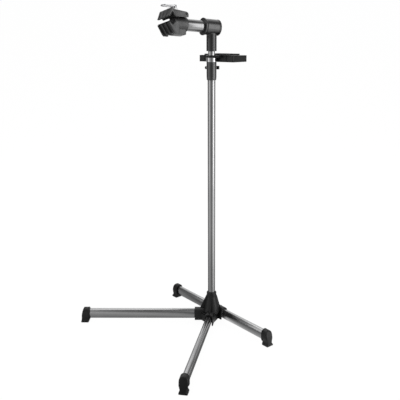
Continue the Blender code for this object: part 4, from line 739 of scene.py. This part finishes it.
# Tee: a black moulding on top of the inner tube. An upright socket flows into a slightly raised
# barrel, flanged in front, where the arm turns.
tee_black = moulded_black("tee_black_moulding", 0.006, 0.27, 0.16, 0.9, 0.45)
ARM_RISE = math.radians(3.9)
HEAD_AXES = turn_about("Z", math.radians(170.0))
BARREL_AXES = HEAD_AXES @ turn_about("Y", -ARM_RISE)
ARM_CENTRE = MAST + [0.0, 0.0, 1.119]
ARM_BORE, BOLT_BORE = 0.0203, 0.0043
SOCKET_RADIUS, TEE_LOW, TEE_HIGH = 0.018, 1.039, 1.098
BARREL_RADIUS, FLANGE_RADIUS, BARREL_FRONT, BARREL_BACK = 0.027, 0.0295, 0.0360, -0.0195


def build_fillet(radius=0.0030, steps=8):
    """Bend between the upright socket and the barrel, as a closed band.

    At an angle a round the socket the barrel's skin below its axis is at
    t(r) = (r cos a sin e - sqrt(R^2 - (r sin a)^2)) / cos e, with e the barrel's rise. The bend is
    a parabola, tangent to the socket at t - radius and to the barrel at r + radius.
    """
    a = np.arange(96) * math.tau / 96

    def skin(r):
        x, y = r * np.cos(a), r * np.sin(a)
        t = (x * math.sin(ARM_RISE) - np.sqrt(BARREL_RADIUS**2 - y**2)) / math.cos(ARM_RISE)
        return np.stack([x, y, t], -1)

    crossing, out = skin(SOCKET_RADIUS), skin(SOCKET_RADIUS + radius)
    below = crossing - [0, 0, radius]
    t = np.linspace(0, 1, steps + 1)[:, None, None]
    bend = below[None] * (1 - t) ** 2 + crossing[None] * 2 * t * (1 - t) + out[None] * t**2
    inside = crossing * [0.93, 0.93, 1.0] + [0, 0, 0.001]
    return lattice(np.concatenate([bend, inside[None]]), True, True)


def build_tee():
    """A tube turned upright, a barrel turned about the arm's axis, and the bend between them."""
    barrel = [(ARM_BORE, BARREL_FRONT), (FLANGE_RADIUS, BARREL_FRONT)]
    barrel += [(FLANGE_RADIUS, BARREL_FRONT - 0.004), (0.0280, 0.0292), (BARREL_RADIUS, 0.0260)]
    barrel += [(BARREL_RADIUS, BARREL_BACK), (BOLT_BORE, BARREL_BACK)]
    barrel += [(BOLT_BORE, BARREL_BACK + 0.006), (ARM_BORE, BARREL_BACK + 0.006)]
    barrel = turned(eased(barrel, 0.0011), 128, True)
    socket = round_tube(SOCKET_RADIUS, POST_BORE, TEE_LOW, TEE_HIGH, 0.0011, 4)
    return joined(
        placed(socket, MAST, HEAD_AXES),
        placed(barrel, ARM_CENTRE, BARREL_AXES @ ALONG),
        placed(build_fillet(), ARM_CENTRE, HEAD_AXES),
    )


piece("tee_moulding", build_tee(), tee_black, "head", "tee_piece")


# Lock knob: a black disc with shallow finger flutes, on the draw bolt at the rear of the tee. It
# pulls the arm tight into the barrel.
def build_knob(steps=192):
    """Rings about the bolt; the rim's radius is cut by 0.35 mm (1 + cos 24a) in the grip's rows."""
    flute = 0.00035 * (1 + np.cos(24 * np.arange(steps) * math.tau / steps))
    outline = [(BOLT_BORE, -0.0198, 0), (0.0265, -0.0198, 0), (0.0273, -0.0202, 0)]
    outline += [(0.0275, -0.0208, 0.3), (0.0275, -0.0213, 1), (0.0275, -0.0246, 1)]
    outline += [(0.0267, -0.0264, 1), (0.0252, -0.0274, 0.6), (0.0230, -0.0278, 0)]
    outline += [(0.0120, -0.0278, 0), (0.0110, -0.0272, 0), (0.0050, -0.0270, 0)]
    outline += [(BOLT_BORE, -0.0268, 0)]
    return lattice(rings([(r - share * flute, s) for r, s, share in outline], steps), True, True)


knob = placed(build_knob(), ARM_CENTRE, BARREL_AXES @ ALONG)
piece("fluted_lock_knob", knob, tee_black, "arm_lock", "lock_knob")


# Arm tube: a stout steel tube, satin silver, that turns in the tee's barrel and is held by the draw
# bolt. The clamp is fixed on its outer end. Arm axes: s along the arm, y to the viewer, h up.
ARM_AXES = BARREL_AXES @ turn_about("X", math.radians(8.0))
# Painted shade: the arm is the same satin silver as the mast, its tone cut to 0.29 from 0.50 for the
# dimmer light it reflects.
arm_silver_painted_shade = drawn_silver("arm_silver_painted_shade", ARM_AXES[:, 0], 0.29, 0.20)
ARM_RADIUS, ARM_INSIDE, ARM_START, ARM_END = 0.020, 0.018, -0.0132, 0.1260


def on_arm(shape):
    """A shape drawn in the arm's axes, put in its place."""
    return placed(shape, ARM_CENTRE, ARM_AXES)


arm = placed(round_tube(ARM_RADIUS, ARM_INSIDE, ARM_START, ARM_END), lay=ALONG)
piece("arm_round_tube", on_arm(arm), arm_silver_painted_shade, "arm", "arm_tube")


# Clamp body: black moulding with the arm's socket, the hinge lug and the lower jaw, whose four
# plates stand proud of a core at the tip. The jaw's V groove holds a rubber pad. A screw from below
# fixes the socket on the arm.
jaw_black = moulded_black("clamp_black_moulding", 0.020, 0.38, 0.26, 1.0)
MM = 0.001
RIBS = [(-45.0, -38.0), (-17.33, -10.33), (10.33, 17.33), (38.0, 45.0)]
CORE_HALF = 44.5
PIN_S, PIN_H, PIN_BORE = 112.0, 31.0, 3.3
FIXING_PLACE = np.array([0.117, 0.0, 0.0])


def slab(outlines, low, high, edge, ends=(1, 1)):
    """A plate drawn in millimetres, s along the arm and h up, from one y to another."""
    lines = [np.asarray(outline, float) * MM for outline in outlines]
    shape = plate(lines, -high * MM, -low * MM, edge * MM, 3, ends[::-1])
    return placed(shape, lay=UPRIGHT)


def build_clamp_body():
    """A socket turned about the arm, then plates in y: block, lug, ribs and core.

    In front of room_start the socket's top is cut down to room_top, to make room for the jaw.
    """
    shell, rear, front, seat = 0.0248, 0.1020, 0.1524, 0.1263
    room_start, room_top, step = 0.1215, 0.0215, 0.0002
    barrel = [(shell, front), (shell, rear), (ARM_BORE, rear), (ARM_BORE, seat)]
    barrel = eased(barrel, 0.0014, 4, closed=False)
    rows = [(0.0, front), (shell, front), (shell, room_start + step), (shell, room_start - step)]
    barrel = np.vstack([rows, barrel[1:], [(0.0, seat)]])
    points, faces = placed(turned(barrel, 128), lay=ALONG)
    room = points[:, 0] > room_start
    points[room, 2] = np.minimum(points[room, 2], room_top)
    block = eased([(108, -35.9), (150, -35.9), (150, 4), (108, 4)], 4.0, 5)
    bore = round_line(142.0, -20.0, 7.3)
    lug = np.vstack([arc(PIN_S, PIN_H, 6.5, 0, 180, 33), [(105.5, 7), (118.5, 7)]])
    shapes = [
        (points, faces),
        slab([block], -13.3, 16.5, 1.5, (0, 1)),
        slab([block, bore], -23.0, -13.3, 0.6, (1, 0)),
        slab([lug, round_line(PIN_S, PIN_H, PIN_BORE)], -8.0, 8.0, 0.8),
    ]
    rib = [(148.4, -36.5), (148.4, 1.3)]
    rib += [(159.03, 1.3), (171.29, -10.96), (172.71, -10.96), (182.55, -1.12)]
    rib += [(186, -1.8), (184.5, -5.5), (175.5, -21), (169.5, -31.5), (164.5, -36.5)]
    shapes += [slab([eased(rib, 1.4)], low, high, 1.0) for low, high in RIBS]
    core = [(148.9, -32.5), (148.9, 0.8)]
    core += [(159.5, 0.8), (171.29, -10.96), (172.71, -10.96), (180.9, -2.75)]
    core += [(182, -2.9), (180.5, -6.3), (171.5, -18.6), (165.5, -29.1), (160.5, -32.5)]
    return joined(*shapes, slab([eased(core, 0.8)], -CORE_HALF, CORE_HALF, 0.2))


piece("clamp_body_moulding", on_arm(build_clamp_body()), jaw_black, "arm", "clamp_body")
arm_fixing = button_screw(0.0025, 0.0160, 0.0308, 0.00475, 0.0034, 0.003)
arm_fixing = on_arm(placed(arm_fixing, FIXING_PLACE, np.diag([1.0, -1.0, -1.0])))
piece("arm_socket_screw", arm_fixing, blackened, "arm", "arm_screw")


# Upper jaw: black moulding that swings on the hinge pin. Its cheeks straddle the lug, its ribs
# match the lower jaw's, and a seat in its top takes the barrel that the clamp screw presses on.
def build_upper_jaw():
    """Plates in y, mirrored about the middle, with outlines put together from shared stretches."""
    rear = [(103.5, 29), (106, 35.5), (112, 38)]
    seat = [(129, 39.76), (129, 36.5), (155, 36.5), (155, 42.45)]
    front = [(168, 43.8), (168, 34), (161.5, 20)]
    under = [(158, 19.95), (158, 27.7)]
    behind = [(121, 27.1), (121, 38.93)]
    pin = round_line(PIN_S, PIN_H, PIN_BORE)
    flank = [[(104, 20)] + rear + front + [(120, 19.7)], pin]
    block = [[(103.6, 26.85)] + rear + front + under, pin]
    low_block = [[(103.6, 26.85)] + rear + seat + front + under, pin]
    bridge = [behind + seat + front + under]
    web = [behind + seat[:2] + [(132.5, 36.5), (132.5, 27.3)]]
    nose = [[(151.5, 27.6), (151.5, 36.5)] + seat[2:] + front + under]
    rib = [(159.2, 16.6), (169.8, 42.5), (171.6, 44.5), (174.4, 44.5), (176.2, 42.5), (183, 24)]
    rib += [(186, 17.5), (184.4, 15.5)]
    rib += [(182.9, 15.57), (173.36, 30.26), (170.64, 30.26), (161.7, 16.49)]
    core = [(159.7, 17.1), (170.3, 42), (171.6, 44), (174.4, 44), (175.7, 42), (181.5, 23.5)]
    core += [(184.8, 17), (183.8, 16)]
    core += [(182.6, 16.05), (173.36, 30.26), (170.64, 30.26), (162.0, 17.05)]
    layers = []
    for outlines, low, high, soft, edge in (
        (flank, 25.4, 28.0, 1.6, 0.8),
        (block, 12.9, 25.6, 1.6, 0.3),
        (low_block, 8.3, 13.0, 1.0, 0.3),
        (bridge, 5.0, 8.5, 0.8, 0.3),
    ):
        layers += [(outlines, low, high, soft, edge), (outlines, -high, -low, soft, edge)]
    layers += [(outlines, -5.2, 5.2, 0.6, 0.2) for outlines in (web, nose)]
    layers.append(([core], -CORE_HALF, CORE_HALF, 0.8, 0.2))
    layers += [([rib], low, high, 1.4, 1.0) for low, high in RIBS]
    shapes = []
    for outlines, low, high, soft, edge in layers:
        shapes.append(slab([eased(outlines[0], soft, 4)] + outlines[1:], low, high, edge))
    return joined(*shapes)


piece("upper_jaw_moulding", on_arm(build_upper_jaw()), jaw_black, "jaw", "upper_jaw")


# Jaw pads: two V-shaped liners of matt black rubber, pressed into the grooves of the jaws, where they
# grip a bicycle's tube.
GROOVE_S, PAD_THICK, PAD_CROWN = 172, 3.0, 3.6


def pad_rubber():
    """Matt black rubber: fine grain and a faint bloom in tone and gloss."""
    made, shader, tree = new_finish("jaw_pad_rubber", IOR=1.5, Specular_IOR_Level=0.35)
    place = tree.place()
    bloom = tree.noise(place, 70.0, 4.0, 0.6)
    grain = tree.noise(place, 1300.0, 2.0, 0.6)
    colour = bloom.between(0.35, 0.7).blend(grey(0.013), grey(0.03))
    tree.vary(shader, colour, bloom.spread(0.66, 0.82), 0.4, 0.0005, grain)
    return made


def pad_outline(apex, depth, angle, up):
    """A V of twice the angle, 3 mm thick, with its crown cut flat 3.6 mm behind the apex."""
    angle = math.radians(angle)
    slope = math.tan(angle)
    mouth, skin = depth * slope, PAD_THICK / math.cos(angle)
    half = (PAD_THICK / math.sin(angle) - PAD_CROWN) * slope
    near = [(mouth, depth), (mouth + skin, depth), (half, -PAD_CROWN)]
    outline = near + [(-x, h) for x, h in near[::-1]] + [(0.0, 0.0)]
    return eased([(GROOVE_S + x, apex + up * h) for x, h in outline], 0.4, 3)


rubber = pad_rubber()
for name, body, apex, depth, angle, up in (
    ("lower", "arm", -7.0, 8.0, 45.0, 1),
    ("upper", "jaw", 26.3, 10.5, 33.0, -1),
):
    pad = slab([pad_outline(apex, depth, angle, up)], -CORE_HALF, CORE_HALF, 0.6)
    piece(name + "_jaw_pad", on_arm(pad), rubber, body, name + "_pad")


# Clamp screw: a chrome spindle through both jaws, threaded in its lower part, with a round head
# for the wire loop that turns it.
SPINDLE = np.array([0.142, 0.0, 0.0])
SPINDLE_RADIUS, PITCH, THREAD_DEPTH, THREAD_TOP = 4.0, 4.0, 0.45, 21.0


def build_spindle(columns=40):
    """A bar whose thread cuts in by 0.45 mm (1 - tooth), tooth going up and down once a turn."""
    a = np.arange(columns) * math.tau / columns
    h = np.linspace(-33.0, THREAD_TOP, 217)
    phase = np.mod(h[:, None] / PITCH - a[None] / math.tau, 1.0)
    tooth = np.clip(2.4 * np.abs(phase - 0.5) - 0.1, 0, 1)
    run_out = np.clip((THREAD_TOP - h) / 2.0, 0, 1)[:, None]
    thread = SPINDLE_RADIUS - THREAD_DEPTH * (1 - tooth) * run_out
    head = [(SPINDLE_RADIUS, 52.1), (6.5, 52.1), (7.0, 52.6), (7.0, 60.7), (6.7, 61.5)]
    head += [(5.6, 62.1), (0.02, 62.1)]
    rows = [(0.02, -34.0), (3.0, -34.0)] + list(zip(thread, h)) + head
    return capped(rings(rows, columns) * MM)


spindle = on_arm(placed(build_spindle(), SPINDLE))
piece("threaded_spindle", spindle, chrome, "screw", "clamp_screw")


# Handle loop: a bent steel wire, chrome-plated, through the spindle's head, its ends welded into one
# long loop that turns the screw by hand.
WIRE_RADIUS, WIRE_BEND = 0.0022, 0.0065
LOOP_LENGTH, LOOP_HALF, LOOP_HEIGHT = 0.046, 0.011, 0.0571


def swept(path, radius, steps=20):
    """A round wire along a closed level path: centre + radius (cos b n + sin b z), n across it."""
    path = np.asarray(path, float)
    along = np.roll(path, -1, 0) - np.roll(path, 1, 0)
    along /= np.linalg.norm(along, axis=1)[:, None]
    across = np.stack([-along[:, 1], along[:, 0]], -1)
    b = np.arange(steps) * math.tau / steps
    ring = path[:, None] + across[:, None] * (radius * np.cos(b))[None, :, None]
    return lattice(raised(ring, radius * np.sin(b)), True, True)


loop_path = eased(box_line(0.0, LOOP_LENGTH, -LOOP_HALF, LOOP_HALF), WIRE_BEND, 12)
loop = on_arm(placed(swept(loop_path, WIRE_RADIUS), SPINDLE + [0, 0, LOOP_HEIGHT]))
piece("wire_handle_loop", loop, chrome, "screw", "handle_loop")


# Studio: a white floor curved up into a backdrop, glowing in painted bands of light to all but the
# camera, two tall soft boxes and one overhead, and a camera at the photo's view.
VIEW_FROM = (-1.2260, -1.6410, 1.088)
LOOK = (0.6414, 0.7672)
LOOK_DOWN = math.radians(15.43)
TO_RIGHT = (LOOK[1], -LOOK[0], 0.0)
TO_CAMERA = (-LOOK[0], -LOOK[1], 0.0)
GLOW = 1.4


def studio_light(tree, offset):
    """Level by bearing from the camera: dark towards it, light on both sides, pale behind."""
    levels = [(-180, 0.90), (180, 0.90), (-145, 0.40), (-118, 0.08), (-95, 0.20), (-72, 0.56)]
    levels += [(-52, 0.56), (-34, 0.42), (-12, 0.19), (0, 0.15), (12, 0.20), (34, 0.50)]
    levels += [(54, 1.05), (70, 1.30), (88, 0.50), (118, 0.16), (145, 0.40)]
    stops = [(0.5 + turn / 360, grey(level / GLOW)) for turn, level in levels]
    bearing = tree.math("ARCTAN2", offset.dot(TO_RIGHT), offset.dot(TO_CAMERA))
    share = bearing.between(-math.pi, math.pi)
    return tree.add("ShaderNodeValToRGB", {"stops": stops}, {0: share})


def studio_floor():
    """A level white sheet, curved up far behind the stand: y = d, z = rise (d - start)^2."""
    start, rise = 2.2, 0.16
    d = np.concatenate([[-6.0, 2.0], np.linspace(start, 7.0, 30)])
    z = np.where(d > start, rise * (d - start) ** 2, 0.0)
    spots = d[:, None, None] * LOOK + np.array([-9.0, 9.0])[:, None] * np.array(TO_RIGHT[:2])
    shape, faces = lattice(raised(spots, z[:, None]))
    mesh = bpy.data.meshes.new("studio_floor")
    mesh.from_pydata(shape.tolist(), [], faces)
    mesh.shade_smooth()
    constants = {"Specular_IOR_Level": 0.1, "Emission_Strength": GLOW, "Base_Color": grey(0.08)}
    made, shader, tree = new_finish("studio_white", Roughness=0.9, **constants)
    middle = {0: tree.place(), 1: tuple(map(float, MAST))}
    offset = tree.add("ShaderNodeVectorMath", {"operation": "SUBTRACT"}, middle)
    far = tree.add("ShaderNodeVectorMath", {"operation": "LENGTH"}, {0: offset}, 1)
    # Painted reflection and shade: except for camera rays, the sheet glows with the studio's bands,
    # and near the mast its glow falls to 62% as painted shade under the stand.
    painted_glow = far.between(0.15, 0.80, 0.62, 1.0).blend(grey(0.0), studio_light(tree, offset))
    camera_ray = tree.add("ShaderNodeLightPath")
    tree.link(shader.inputs["Emission Color"], camera_ray.blend(painted_glow, grey(0.96 / GLOW)))
    mesh.materials.append(made)
    floor = bpy.data.objects.new("studio_floor", mesh)
    bpy.context.scene.collection.objects.link(floor)


def soft_box(name, bearing, distance, height, size, power, aim=0.7):
    """An area light facing the mast from a bearing in degrees, counted from the camera."""
    angle = math.atan2(-LOOK[1], -LOOK[0]) + math.radians(bearing)
    place = Vector((MAST[0] + distance * math.cos(angle), distance * math.sin(angle), height))
    lamp = bpy.data.lights.new(name, "AREA")
    lamp.shape = "RECTANGLE"
    lamp.size, lamp.size_y = size
    lamp.energy = power
    made = bpy.data.objects.new(name, lamp)
    made.location = place
    toward = Vector((MAST[0], 0.0, aim)) - place
    made.rotation_euler = toward.to_track_quat("-Z", "Y").to_euler()
    bpy.context.scene.collection.objects.link(made)


def studio_world():
    """White to the camera, and the studio's level to all else.

    The ceiling above it is pale behind the stand and dark towards the camera.
    """
    world = bpy.data.worlds.new("studio_world")
    world.use_nodes = True
    bpy.context.scene.world = world
    tree = Shade(world.node_tree)
    back = world.node_tree.nodes["Background"]
    direction = tree.add("ShaderNodeTexCoord")
    height = tree.add("ShaderNodeSeparateXYZ", None, {0: direction}, 2)
    ceiling = direction.dot(TO_CAMERA).between(-0.60, -0.10).blend(grey(0.75), grey(0.12))
    level = height.between(0.42, 0.80).blend(studio_light(tree, direction), ceiling)
    camera_ray = tree.add("ShaderNodeLightPath")
    tree.link(back.inputs["Color"], camera_ray.blend(level, grey(1 / GLOW)))
    back.inputs["Strength"].default_value = GLOW


studio_floor()
studio_world()
soft_box("right_soft_box", 62.0, 2.4, 1.1, (1.1, 2.8), 12.5)
soft_box("left_soft_box", -68.0, 2.4, 1.1, (1.1, 2.8), 4.0)
soft_box("top_soft_box", -90.0, 0.80, 2.8, (3.0, 2.5), 22.0, 0.2)
lens = bpy.data.cameras.new("photo_view")
lens.sensor_width = 36.0
lens.lens = 53.3
lens.shift_x = -0.02875
lens.clip_end = 60.0
camera = bpy.data.objects.new("photo_view", lens)
camera.location = VIEW_FROM
look = Vector((*np.multiply(LOOK, math.cos(LOOK_DOWN)), -math.sin(LOOK_DOWN)))
camera.rotation_euler = look.to_track_quat("-Z", "Y").to_euler()
bpy.context.scene.collection.objects.link(camera)
bpy.context.scene.camera = camera
bpy.context.scene.view_settings.view_transform = "Standard"
